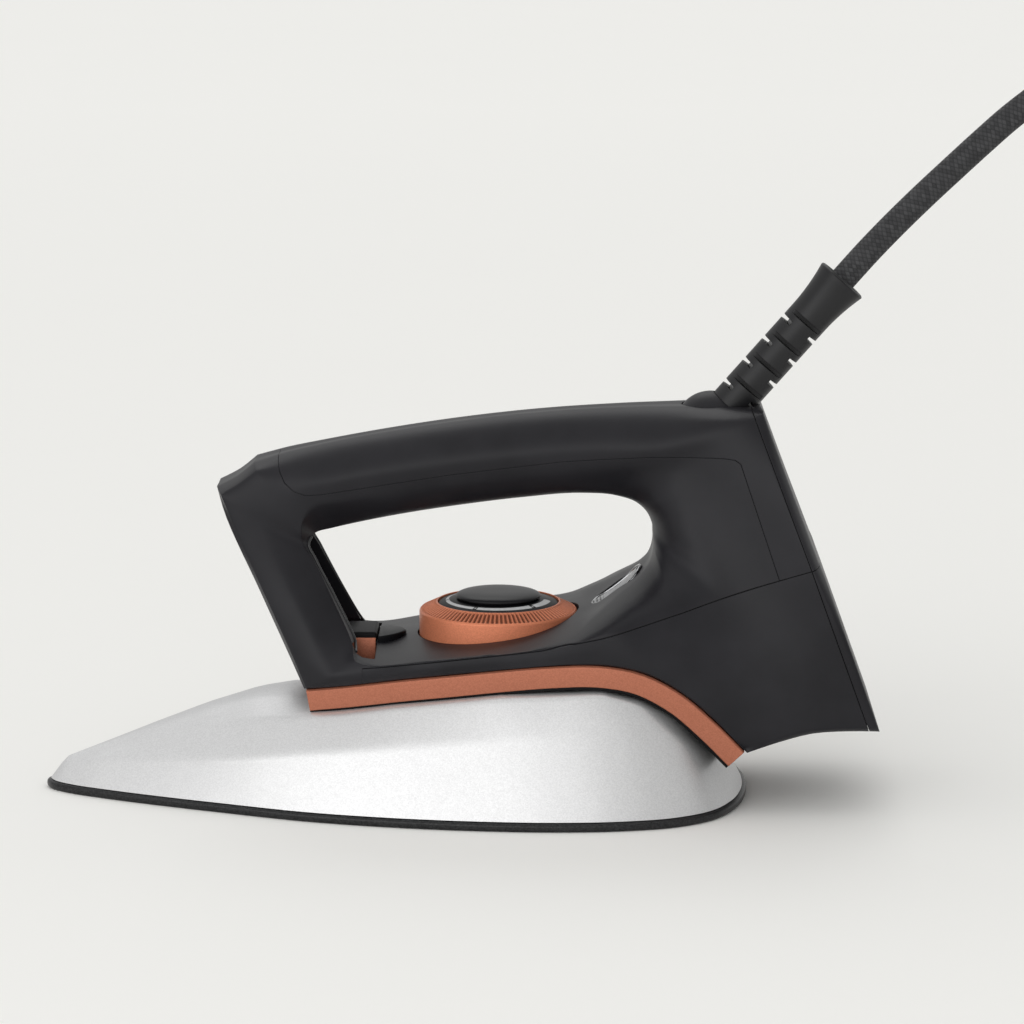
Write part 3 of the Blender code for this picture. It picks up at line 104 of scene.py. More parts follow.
# The source's range from low to high, stretched to another one and held at its ends
def spread(source, low, high, toLow=0.0, toHigh=1.0):
    node = addNode(source, "MapRange", Value=source)
    for key, value in (("From Min", low), ("From Max", high), ("To Min", toLow), ("To Max", toHigh)):
        feed(node.inputs[key], value)
    return node.outputs["Result"]


def falling(source, low, high, top=1.0):
    return spread(source, low, high, top, 0.0)


def mixColours(factor, first, second, way="MIX"):
    entries = (factor, first, second)
    node = addNode(next(filter(isSocket, entries)), "Mix", data_type="RGBA", blend_type=way)
    for index, value in zip((0, 6, 7), entries):
        feed(node.inputs[index], value)
    return node.outputs[2]


def calc(operation, first, second=0.0):
    node = addNode(next(filter(isSocket, (first, second))), "Math", operation=operation)
    feed(node.inputs[0], first)
    feed(node.inputs[1], second)
    return node.outputs[0]


def plus(first, second):
    return calc("ADD", first, second)


def minus(first, second):
    return calc("SUBTRACT", first, second)


def times(first, second):
    return calc("MULTIPLY", first, second)


def absolute(value):
    return calc("ABSOLUTE", value)


def larger(first, second):
    return calc("MAXIMUM", first, second)


def lengthOf(first, second):
    return calc("SQRT", plus(times(first, first), times(second, second)))


# Bump from a height, with the edges rounded in the shading by a small radius
def raiseBump(shader, height, strength, distance, edge=0.0):
    bump = addNode(shader, "Bump", Strength=strength, Distance=distance, Height=height)
    if edge:
        feed(bump.inputs["Normal"], addNode(shader, "Bevel", samples=6, Radius=edge).outputs["Normal"])
    feed(shader.inputs["Normal"], bump.outputs["Normal"])


# Moulded plastic: a fine even grain, slow roughness drift and a trace of dust in the colour
mouldLook = {"drift": (38.0, 3.0, 0.55), "fine": (2.0, 0.6), "dust": 1.35, "haze": 0.002, "dustRange": (0.35, 0.7),
             "fineShare": 0.35, "rough": (0.9, 1.12), "depth": 0.00003}


def mouldedFinish(name, colour, rough, grain=2600.0, strength=0.35, edge=0.0004, specular=0.5):
    finish, shader = newFinish(name, colour, rough, specular=specular)
    spot = objectPlace(shader)
    fine, slow = noiseAt(spot, grain, *mouldLook["fine"]), noiseAt(spot, *mouldLook["drift"])
    dusty = tuple(min(channel * mouldLook["dust"] + mouldLook["haze"], 1.0) for channel in colour)
    low, high = (rough * share for share in mouldLook["rough"])
    feed(shader.inputs["Base Color"], mixColours(spread(slow, *mouldLook["dustRange"]), colour, dusty))
    feed(shader.inputs["Roughness"], spread(plus(slow, times(fine, mouldLook["fineShare"])), 0.4, 1.0, low, high))
    raiseBump(shader, fine, strength, mouldLook["depth"], edge)
    return finish


# Metallic paint: flakes as small cells that each tilt and lighten a little under a clear satin skin
flakeLook = {"drift": (26.0, 4.0, 0.6), "glint": 0.08, "flakeShare": 0.8, "driftShare": 0.3, "rough": (0.85, 1.15),
             "depth": 0.00004}


def flakeFinish(name, colour, rough, metal, flake, sparkle, tilt, edge=0.0, grooveShade=0.0, specular=0.5):
    finish, shader = newFinish(name, colour, rough, metal, specular)
    spot = objectPlace(shader)
    cells = addNode(shader, "TexVoronoi", Scale=flake, Vector=spot)
    level = addNode(shader, "SeparateColor", Color=cells.outputs["Color"]).outputs
    slow = noiseAt(spot, *flakeLook["drift"])
    bright = tuple(min(channel * (1 + sparkle) + sparkle * flakeLook["glint"], 1.0) for channel in colour)
    dark = tuple(channel * (1 - sparkle) for channel in colour)
    shade = plus(times(level[0], flakeLook["flakeShare"]), times(slow, flakeLook["driftShare"]))
    coat = mixColours(spread(shade, 0.1, 1.0), dark, bright)
    # Painted shade: the mask of the sunk grooves darkens the colour to a share of itself, shade painted into the
    # grooves
    if grooveShade:
        cut = addNode(shader, "Attribute", attribute_name="grooveShade").outputs["Fac"]
        coat = mixColours(cut, coat, tuple(channel * grooveShade for channel in colour))
    low, high = (rough * share for share in flakeLook["rough"])
    feed(shader.inputs["Base Color"], coat)
    feed(shader.inputs["Roughness"], spread(plus(slow, level[1]), 0.3, 1.5, low, high))
    raiseBump(shader, level[2], tilt, flakeLook["depth"], edge)
    return finish


# Turned or plated metal: fine lines along one direction over slow dark patches
metalLook = {"drift": (60.0, 3.0), "patch": 0.72, "patchRange": (0.3, 0.75), "rough": (0.8, 1.3), "strength": 0.15,
             "depth": 0.00002}


def metalFinish(name, colour, rough, stretch=(1, 12, 1), grain=900.0):
    finish, shader = newFinish(name, colour, rough, 1.0)
    spot = objectPlace(shader, stretch)
    lines, slow = noiseAt(spot, grain, 2.0), noiseAt(spot, *metalLook["drift"])
    dark = tuple(channel * metalLook["patch"] for channel in colour)
    low, high = (rough * share for share in metalLook["rough"])
    feed(shader.inputs["Base Color"], mixColours(spread(slow, *metalLook["patchRange"]), colour, dark))
    feed(shader.inputs["Roughness"], spread(lines, 0.3, 0.7, low, high))
    raiseBump(shader, lines, metalLook["strength"], metalLook["depth"])
    return finish


satinBlack = mouldedFinish("satinBlack", (0.0122, 0.0118, 0.0142), 0.4, specular=0.19)
# A darker, duller copy of the satin black, as painted shade: on the strip under the copper band and on the ledge
# block in the post's recess
shadedBlack = mouldedFinish("shadedBlack", (0.004, 0.004, 0.0045), 0.5, specular=0.1)
# A lighter, glossier copy of the satin black for the post's edge beads: its lighter colour is a painted highlight,
# its gloss is real
edgeHighlightBlack = mouldedFinish("edgeHighlightBlack", (0.02, 0.02, 0.021), 0.3)
pianoBlack = mouldedFinish("pianoBlack", (0.004, 0.004, 0.005), 0.3, 3200.0, 0.04, 0.0003, 0.05)
capBlack = mouldedFinish("capBlack", (0.012, 0.012, 0.0132), 0.3, 3000.0, 0.1, specular=0.12)
sleeveBlack = mouldedFinish("sleeveBlack", (0.010, 0.010, 0.011), 0.42, 2200.0, edge=0.00035, specular=0.3)
plugBlack = mouldedFinish("plugBlack", (0.02, 0.02, 0.022), 0.5, 1800.0)
silverPaint = flakeFinish("silverPaint", (0.64, 0.64, 0.645), 0.38, 0.6, 3300.0, 0.08, 0.2)
copperPaint = flakeFinish("copperPaint", (0.455, 0.162, 0.096), 0.38, 0.45, 3300.0, 0.1, 0.18, 0.0003, specular=0.2)
# Ribbed copper: the dial ring's paint, with painted shade in its grooves
ribbedCopper = flakeFinish("ribbedCopper", (0.66, 0.22, 0.115), 0.36, 0.25, 3300.0, 0.1, 0.18, grooveShade=0.3,
                           specular=0.2)
soleCoat = flakeFinish("soleCoat", (0.0075, 0.0075, 0.0085), 0.3, 0.0, 3000.0, 0.3, 0.2, specular=0.22)
platedSteel = metalFinish("platedSteel", (0.62, 0.62, 0.61), 0.28)
bareBrass = metalFinish("bareBrass", (0.72, 0.52, 0.22), 0.3)
darkScrew = metalFinish("darkScrew", (0.06, 0.06, 0.062), 0.4)
chromeLine = metalFinish("chromeLine", (0.3, 0.3, 0.31), 0.2, (1, 1, 1), 1500.0)
firedCeramic = mouldedFinish("firedCeramic", (0.78, 0.76, 0.7), 0.4, 900.0)
creamPlastic = mouldedFinish("creamPlastic", (0.7, 0.64, 0.5), 0.45)
wireBrown = mouldedFinish("wireBrown", (0.16, 0.06, 0.025), 0.4)
wireBlue = mouldedFinish("wireBlue", (0.02, 0.08, 0.34), 0.4)
wireGreen = mouldedFinish("wireGreen", (0.09, 0.3, 0.06), 0.4)
lampGlass = mouldedFinish("lampGlass", (0.7, 0.22, 0.08), 0.08, strength=0.02)
print("finishes made")


# Meshes: a piece without a finish is a cutter, which lasts until clearCutters
cutters = []


def addObject(name, data):
    made = bpy.data.objects.new(name, data)
    bpy.context.scene.collection.objects.link(made)
    return made


def meshPiece(name, points, faces, material, body="iron", slot=None, replaced=(), sharp=35.0):
    mesh = bpy.data.meshes.new(name)
    mesh.from_pydata(np.asarray(points).tolist(), [], faces)
    mesh.update()
    piece = addObject(name, mesh)
    if material is None:
        piece.hide_render = True
        cutters.append(piece)
        return piece
    mesh.materials.append(material)
    shadeSoft(piece, sharp)
    if body:
        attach(piece, body)
    if replaced:
        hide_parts(*replaced)
    return piece


def clearCutters():
    while cutters:
        bpy.data.objects.remove(cutters.pop(), do_unlink=True)


def shadeSoft(piece, sharp=35.0):
    piece.data.shade_smooth()
    piece.data.set_sharp_from_angle(angle=math.radians(sharp))


# Quads of a grid: every point with its right, upper right and upper neighbour, as index arrays
def gridQuads(rows, columns, joinRows, joinColumns):
    row = np.arange(rows if joinRows else rows - 1)[:, None]
    column = np.arange(columns if joinColumns else columns - 1)[None, :]
    nextRow, nextColumn = (row + 1) % rows, (column + 1) % columns
    quads = (row * columns + column, row * columns + nextColumn,
             nextRow * columns + nextColumn, nextRow * columns + column)
    return np.stack(quads, axis=-1).reshape(-1, 4)


# Signed volume of the faces about their middle, so that a closed grid can be turned to face outwards
def facesOutwards(points, quads):
    corners = (points - points.mean(axis=0))[quads]
    first = np.cross(corners[:, 1] - corners[:, 0], corners[:, 2] - corners[:, 0])
    second = np.cross(corners[:, 2] - corners[:, 0], corners[:, 3] - corners[:, 0])
    volume = np.einsum("ij,ij->", corners[:, 0], first + second)
    return quads if volume > 0 else quads[:, ::-1]


# Closed loft: rings carried one after another, each closed on itself; ends capped or joined in a loop
def loftPiece(name, rings, material, joined=False, **settings):
    rings = np.asarray(rings, float)
    rows, columns = rings.shape[:2]
    points = rings.reshape(-1, 3)
    quads = gridQuads(rows, columns, joined, True)
    turned = facesOutwards(points, quads)
    faces = turned.tolist()
    if not joined:
        way = 1 if turned is not quads else -1
        faces += [list(range(columns))[::way], list(range((rows - 1) * columns, rows * columns))[::-way]]
    return meshPiece(name, points, faces, material, **settings)


def upright(direction):
    return Vector(direction).to_track_quat("Z", "Y")


# Rings round an axis through a point: cosine and sine of the turn times the radius there, at each ring's height
def spunRings(radii, heights, centre, direction):
    angle = np.linspace(0, 2 * math.pi, radii.shape[1], endpoint=False)
    turn = np.array(upright(Vector(direction).normalized()).to_matrix())
    height = np.repeat(heights[:, None], radii.shape[1], axis=1)
    return np.stack((radii * np.cos(angle), radii * np.sin(angle), height), axis=-1) @ turn.T + centre


# Turned piece: radius and height pairs spun round
def turnedPiece(name, profile, centre, direction, material, segments=64, joined=False, **settings):
    radii, heights = np.array(profile, float).T
    rings = spunRings(np.repeat(radii[:, None], segments, axis=1), heights, centre, direction)
    return loftPiece(name, rings, material, joined, **settings)


def boxCutter(name, low, high):
    corners = [(x, y, z) for x in (low[0], high[0]) for y in (low[1], high[1]) for z in (low[2], high[2])]
    faces = [(0, 1, 3, 2), (4, 6, 7, 5), (0, 4, 5, 1), (2, 3, 7, 6), (0, 2, 6, 4), (1, 5, 7, 3)]
    return meshPiece(name, corners, faces, None)


def prismCutter(name, outline, half):
    return loftPiece(name, [[(x, side, z) for x, z in outline] for side in (-half, half)], None)


def rodCutter(name, centre, direction, radius, low, high, segments=48):
    return turnedPiece(name, ((radius, low), (radius, high)), centre, direction, None, segments)


def holeCutter(name, x, radius, low, high, segments=48):
    return rodCutter(name, (x, 0, 0), (0, 0, 1), radius, low, high, segments)


# Half circle from pole to pole, without its end points, as radius and height pairs
def ballProfile(radius, steps):
    angle = np.linspace(-math.pi / 2, math.pi / 2, steps)[1:-1]
    return np.stack((radius * np.cos(angle), radius * np.sin(angle)), 1)


# Cuts applied at once, so that the finished mesh holds them and nothing is left live
def carve(piece, *tools, way="DIFFERENCE"):
    for tool in tools:
        kind = "COLLECTION" if isinstance(tool, bpy.types.Collection) else "OBJECT"
        cut = piece.modifiers.new("cut", "BOOLEAN")
        cut.operation, cut.solver, cut.operand_type = way, "EXACT", kind
        setattr(cut, kind.lower(), tool)
    bpy.context.view_layer.update()
    graph = bpy.context.evaluated_depsgraph_get()
    carved, old = bpy.data.meshes.new_from_object(piece.evaluated_get(graph)), piece.data
    piece.modifiers.clear()
    piece.data = carved
    carved.name = piece.name
    bpy.data.meshes.remove(old)
    shadeSoft(piece)


# Keeps what lies in the first tools, and takes all the others away in one cut
def carveAll(piece, keep=(), away=()):
    for tool in keep:
        carve(piece, tool, way="INTERSECT")
    holder = bpy.data.collections.new("cutters")
    for tool in away:
        holder.objects.link(tool)
    carve(piece, holder)
    bpy.data.collections.remove(holder)


# Curve through closed points: cubic pieces; the tangent at each point is the mean of its two chords, weighted by
# the other one's length, and shrinks with the roundness there
def refine(points, roundness, steps):
    after, before = np.roll(points, -1, 0), np.roll(points, 1, 0)
    ahead = np.maximum(np.linalg.norm(after - points, axis=-1, keepdims=True), 1e-9)
    behind = np.maximum(np.linalg.norm(points - before, axis=-1, keepdims=True), 1e-9)
    tangent = ((after - points) / ahead * behind + (points - before) / behind * ahead) / (ahead + behind)
    tangent = tangent * roundness[..., None]
    following = np.roll(tangent, -1, 0)
    t = (np.arange(steps) / steps).reshape((1, -1) + (1,) * (points.ndim - 1))
    start = 2 * t**3 - 3 * t**2 + 1
    made = (start * points[:, None] + (1 - start) * after[:, None]
            + ahead[:, None] * ((t**3 - 2 * t**2 + t) * tangent[:, None] + (t**3 - t**2) * following[:, None]))
    return made.reshape(-1, *points.shape[1:])


# The same curve through open points, read at even steps along its length
def smoothRoute(points, count, dense=24):
    points = np.asarray(points, float)
    padded = np.vstack((2 * points[0] - points[1], points, 2 * points[-1] - points[-2]))
    line = refine(padded, np.ones(len(padded)), dense)[dense:dense * len(points) + 1]
    run = runAlong(line)
    wanted = np.linspace(0, run[-1], count)
    return np.stack([np.interp(wanted, run, line[:, axis]) for axis in range(3)], axis=1)


def runAlong(line):
    return np.insert(np.cumsum(np.linalg.norm(np.diff(line, axis=0), axis=1)), 0, 0.0)


def unit(vectors):
    return vectors / np.linalg.norm(vectors, axis=-1, keepdims=True)


def tangents(line):
    return unit(np.gradient(line, axis=0))


# Smooth step: three squares less two cubes of a share from 0 to 1
def eased(share):
    return share * share * (3 - 2 * share)


# Tube: at each point of the line a circle, cosine along one direction and sine along the other
def tubeRings(line, side, up, radius, sides):
    turn = np.linspace(0, 2 * math.pi, sides, endpoint=False)[None, :, None]
    return line[:, None] + (side[:, None] * np.cos(turn) + up[:, None] * np.sin(turn)) * radius


def place(xShare, zShare):
    return xShare * soleLength, zShare * handleHeight


def placed(shares):
    return [place(x, z) for x, z in shares]


def tableAt(table, share, column):
    table = np.array(table, float)
    return np.interp(share, table[:, 0], table[:, column])


# Row and column in the piece's grid for each corner of its faces
def cornerGrid(mesh, columns):
    vertex = np.zeros(len(mesh.loops), np.int32)
    mesh.loops.foreach_get("vertex_index", vertex)
    return vertex // columns, vertex % columns


def layUv(mesh, name, along, across):
    values = np.stack((along, across), axis=1).ravel().astype(np.float32)
    mesh.uv_layers.new(name=name).data.foreach_set("uv", values)


# Values at the points, for a finish to read
def layValues(piece, name, values):
    piece.data.attributes.new(name, "FLOAT", "POINT").data.foreach_set("value", np.ravel(values).astype(np.float32))


# Camera, light and floor
studio = {"target": (0.039, 0.0, 0.0944), "distance": 1.4, "elevation": 10.5, "azimuth": 0.8, "lens": 147.66,
          "sensor": 36.0, "nearest": 0.05, "world": (0.64, 0.64, 0.6336),
          "suns": (("topSun", (-0.3, 0.1, 1.0), 0.42, 90), ("backSun", (-0.1, 0.7, 0.72), 0.2, 30),
                   ("frontSun", (-0.42, -0.85, 0.3), 0.5, 56)),
          "boxSpot": (-0.8, -1.9, 0.72), "boxAim": (0.0, 0.0, 0.04), "boxSize": (3.4, 0.7), "boxPower": 11.0,
          "floorReach": 8.0, "floorColour": (0.925, 0.92, 0.895), "floorFar": (0.99, 0.985, 0.958),
          "floorRough": 0.75, "farRange": (-0.2, 2.6), "mottleGrain": 6.0, "mottleShare": 0.1}


def makeStudio():
    scene = bpy.context.scene
    turn, rise = math.radians(studio["azimuth"]), math.radians(studio["elevation"])
    back = Vector((math.sin(turn) * math.cos(rise), -math.cos(turn) * math.cos(rise), math.sin(rise)))
    data = bpy.data.cameras.new("photoCamera")
    data.lens, data.sensor_width, data.clip_start = studio["lens"], studio["sensor"], studio["nearest"]
    scene.camera = addObject("photoCamera", data)
    scene.camera.location = Vector(studio["target"]) + back * studio["distance"]
    scene.camera.rotation_euler = upright(back).to_euler()
    scene.world = bpy.data.worlds.new("studioWorld")
    scene.world.use_nodes = True
    feed(scene.world.node_tree.nodes["Background"].inputs["Color"], studio["world"])
    for name, toward, power, wide in studio["suns"]:
        data = bpy.data.lights.new(name, "SUN")
        data.energy, data.angle = power, math.radians(wide)
        addObject(name, data).rotation_euler = upright(toward).to_euler()
    data = bpy.data.lights.new("frontBox", "AREA")
    data.shape, data.energy = "RECTANGLE", studio["boxPower"]
    data.size, data.size_y = studio["boxSize"]
    lamp = addObject("frontBox", data)
    lamp.location = studio["boxSpot"]
    lamp.rotation_euler = upright(lamp.location - Vector(studio["boxAim"])).to_euler()
    makeFloor()
    scene.view_settings.view_transform = "Standard"


# Flat floor with a faint mottle, a little paler far behind the iron, where the front light doesn't reach
def makeFloor():
    colour, reach, mottled = studio["floorColour"], studio["floorReach"], studio["mottleShare"]
    finish, shader = newFinish("studioFloor", colour, studio["floorRough"], specular=0.2)
    spot = objectPlace(shader)
    far = times(spread(partsOf(spot)[1], *studio["farRange"]), 1 - mottled)
    share = plus(far, times(noiseAt(spot, studio["mottleGrain"]), mottled))
    feed(shader.inputs["Base Color"], mixColours(share, colour, studio["floorFar"]))
    corners = [(-reach, -reach, 0), (reach, -reach, 0), (reach, reach, 0), (-reach, reach, 0)]
    return meshPiece("studioFloor", corners, [(0, 1, 2, 3)], finish, body=None)


makeStudio()
print("studio made")


# Cord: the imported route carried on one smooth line, then wound and put away behind the heel
cordShape = {"radius": 0.0044, "length": 1.8, "laid": 1.795, "sides": 20, "ringStep": 0.0024, "runPoints": 34,
             "tailPoints": 20, "turnBefore": 0.055, "turnLength": 0.04,
             "bend": (0.155, 0.279)}  # bend: between these places along X the cord bends over from the swivel
sleeveShape = {"angle": 48.8, "radius": 0.0069, "length": 0.0609, "root": 0.0045, "flareLength": 0.017,
               "flareRadius": 0.0089, "slotFirst": 0.0148, "slotPitch": 0.0096, "slotPairs": 4,
               "slotStagger": 0.39, "slotWidth": 0.0015, "slotCore": 0.0038, "play": 0.0006, "crisp": 0.00004,
               "sides": 144, "flareSteps": 12,
               # inset from the flare's radius and depth below the end, for the points round the lip
               "lip": ((0.00015, 0.0004), (0.0006, 0), (0.0014, 0), (0.002, 0.0003), (0.0036, 0.0014)),
               "bore": (0.0003, 0.0016),  # play round the cord, depth below the end
               "foot": (0.0003, 0.0003, 0.0006), "flareEnds": (0.0015, 0.0009), "slotInner": 0.4}
ballShape = {"radius": 0.012, "play": 0.00035, "shares": (0.4445, 0.9348)}
ballX, ballZ = place(*ballShape["shares"])
ballCentre = np.array((ballX, 0.0, ballZ))
sleeveTurn = math.radians(sleeveShape["angle"])
sleeveWay = np.array((math.cos(sleeveTurn), 0.0, math.sin(sleeveTurn)))
sleeveExit = ballCentre + sleeveWay * (sleeveShape["length"] + sleeveShape["root"])
runRoute = (
    (0.186, 0.0, 0.2115), (0.208, -0.001, 0.231), (0.2226, -0.003, 0.2406), (0.2398, -0.006, 0.2442),
    (0.257, -0.010, 0.2408), (0.2716, -0.015, 0.231), (0.2814, -0.020, 0.2164), (0.285, -0.025, 0.199),
    (0.2852, -0.033, 0.165), (0.284, -0.041, 0.125), (0.2832, -0.048, 0.085), (0.2838, -0.0535, 0.05),
    (0.2876, -0.056, 0.0305), (0.2965, -0.0574, 0.0169), (0.3099, -0.058, 0.008), (0.3232, -0.058, 0.0048))
tailRoute = (
    (0.0352, -0.0525, 0.0165), (0.0488, -0.0365, 0.0212), (0.0525, -0.0145, 0.0264), (0.0450, 0.0095, 0.0312),
    (0.0320, 0.0225, 0.0345))
tailEnd = np.array((0.0091, 0.0265, 0.0362))
coilShape = {"radius": 0.058, "turns": 4, "points": 97, "apart": 0.0007, "lift": 0.0002}
coilCentre = np.array((0.342, 0.0, 0.0))
straightBit = np.array((2 * cordShape["radius"], 0.0, 0.0))
braidLook = {"along": 620.0, "around": 11.0, "rough": 0.85, "valleyShade": 0.6, "sheen": 0.12, "sheenRough": 0.4,
             "threads": ((0.034, 0.034, 0.036), (0.062, 0.062, 0.065)), "strength": 0.6, "depth": 0.0003}


# Two flat layers of two turns: the radius falls a pitch a turn to the middle and grows again a layer higher
def coilLine():
    pitch, middle = 2 * cordShape["radius"] + coilShape["apart"], coilShape["turns"] * math.pi
    angle = np.linspace(0, 2 * middle, coilShape["points"])
    radius = coilShape["radius"] - pitch * (middle - np.abs(angle - middle)) / (2 * math.pi)
    climb = eased(np.clip((angle - middle) / math.pi + 0.5, 0, 1))
    height = cordShape["radius"] + coilShape["lift"] + pitch * climb
    turn = angle - math.pi / 2
    points = coilCentre + np.stack((radius * np.cos(turn), radius * np.sin(turn), height), 1)
    return np.vstack((points[:1] - straightBit, points, points[-1:] + straightBit))


def cordRoute():
    coil = coilLine()
    endGap = np.array((gap, 0.0, 0.0))
    leave = (sleeveExit + sleeveWay * gap, sleeveExit + sleeveWay * cordShape["radius"] * 2)
    run = smoothRoute(np.vstack((*leave, runRoute, coil[0] - endGap)), cordShape["runPoints"])
    first, last = coil[-1] + endGap, coilCentre + tailEnd
    tail = smoothRoute(np.vstack((first, first + straightBit / 2, first + straightBit, coilCentre + tailRoute,
                                  last + straightBit, last + straightBit / 2, last)), cordShape["tailPoints"])
    return np.vstack((run[:-1], coil, tail[1:])), len(run)


# Tube: at each ring, the reference direction goes from sideways on the free run to upright on the coil
def makeCord():
    points, runCount = cordRoute()
    line = smoothRoute(points, int(cordShape["laid"] / cordShape["ringStep"]))
    along, tangent = runAlong(line), tangents(line)
    turned = (along - runAlong(points[:runCount])[-1] + cordShape["turnBefore"]) / cordShape["turnLength"]
    turned = eased(np.clip(turned, 0, 1))[:, None]
    side = unit(np.cross(np.array((0.0, 1.0, 0.0)) * (1 - turned) + np.array((0.0, 0.0, 1.0)) * turned, tangent))
    rings = tubeRings(line, side, np.cross(tangent, side), cordShape["radius"], cordShape["sides"])
    cord = loftPiece("cordRun", rings, braidFinish(), body=None, slot="braid",
                     replaced=("cord_run", "cord_coil", "cord_tail"), sharp=60)
    layRoundUv(cord.data, cordShape["sides"], along)
    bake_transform(cord)
    return cord, line


# UV: distance along in U, share of the way round in V, the last column reaching 1 at the seam
def layRoundUv(mesh, columns, along):
    row, column = cornerGrid(mesh, columns)
    start, total = np.zeros(len(mesh.polygons), np.int32), np.zeros(len(mesh.polygons), np.int32)
    mesh.polygons.foreach_get("loop_start", start)
    mesh.polygons.foreach_get("loop_total", total)
    low, high = np.minimum.reduceat(column, start), np.maximum.reduceat(column, start)
    seam = np.repeat((high - low > columns / 2) & (total == 4), total)
    column = column + np.where(seam & (column < columns / 2), columns, 0)
    layUv(mesh, "round", along[row], column / columns)


# Braid: two families of threads cross as slanting rows; each crossing has its own tone, and painted shade darkens the
# valleys between the threads
def braidFinish():
    finish, shader = newFinish("cordBraid", (0.1, 0.1, 0.105), braidLook["rough"], specular=0.25)
    uv = partsOf(addNode(shader, "UVMap", uv_map="round").outputs["UV"])
    along, around = times(uv[0], braidLook["along"]), times(uv[1], braidLook["around"])
    threads = plus(along, around), minus(along, around)
    cell = addNode(shader, "CombineXYZ")
    for entry, thread in zip(cell.inputs, threads):
        feed(entry, calc("FLOOR", thread))
    chance = addNode(shader, "TexWhiteNoise", noise_dimensions="3D", Vector=cell.outputs[0]).outputs["Value"]
    rise = times(*[calc("SINE", times(calc("FRACT", thread), math.pi)) for thread in threads])
    # Painted shade: the thread colour falls to a share of itself in the valleys between the crossings
    shade = spread(rise, 0.0, 0.5, braidLook["valleyShade"], 1.0)
    coat = mixColours(1.0, mixColours(chance, *braidLook["threads"]), shade, "MULTIPLY")
    feed(shader.inputs["Base Color"], coat)
    feed(shader.inputs["Sheen Weight"], braidLook["sheen"])
    feed(shader.inputs["Sheen Roughness"], braidLook["sheenRough"])
    raiseBump(shader, rise, braidLook["strength"], braidLook["depth"])
    return finish


cord, cordLine = makeCord()
print("cord laid, metres:", round(float(runAlong(cordLine)[-1]), 4))


# Tables in shares of the sole's length, the handle's height and half the sole's width. In bodyShares each row is a
# section carried round the hand opening: an inner point, an outer point and five half widths between them
soleOutlineShares = (
    (-0.5, 0.0), (-0.494, 0.072), (-0.468, 0.17), (-0.421, 0.276), (-0.335, 0.438), (-0.23, 0.613),
    (-0.123, 0.78), (0.0, 0.905), (0.12, 0.977), (0.23, 1.0), (0.325, 0.968), (0.395, 0.887),
    (0.448, 0.73), (0.48, 0.49), (0.495, 0.24), (0.499, 0.0))
lowerCreaseShares = (
    (-0.478, 0.062, 0.55), (-0.42, 0.091, 0.7), (-0.19, 0.146, 0.83), (-0.12, 0.164, 0.828),
    (0.04, 0.196, 0.826), (0.19, 0.222, 0.824), (0.33, 0.232, 0.82), (0.4, 0.2, 0.82), (0.464, 0.125, 0.84))
upperCreaseShares = (
    (-0.468, 0.08, 0.1), (-0.342, 0.152, 0.374), (-0.268, 0.188, 0.47), (-0.195, 0.219, 0.556),
    (-0.124, 0.238, 0.6), (0.008, 0.28, 0.668), (0.15, 0.314, 0.72), (0.29, 0.325, 0.75),
    (0.345, 0.3, 0.77), (0.4, 0.243, 0.8), (0.437, 0.18, 0.82))
crownLineShares = (
    (-0.468, 0.0), (-0.342, 0.016), (-0.266, 0.03), (-0.195, 0.037), (-0.14, 0.034), (-0.122, 0.02), (-0.08, 0.0))
crownRingShares = ((0.8, 0.28), (0.43, 0.815), (0.15, 0.98))
bandLineShares = (
    (-0.121, 0.3015, 0.455), (-0.058, 0.321, 0.54), (0.009, 0.3417, 0.607), (0.082, 0.36, 0.66),
    (0.151, 0.3765, 0.697), (0.22, 0.3894, 0.722), (0.289, 0.3924, 0.73), (0.344, 0.375, 0.725),
    (0.4, 0.3227, 0.708), (0.448, 0.247, 0.672), (0.491, 0.1659, 0.635))
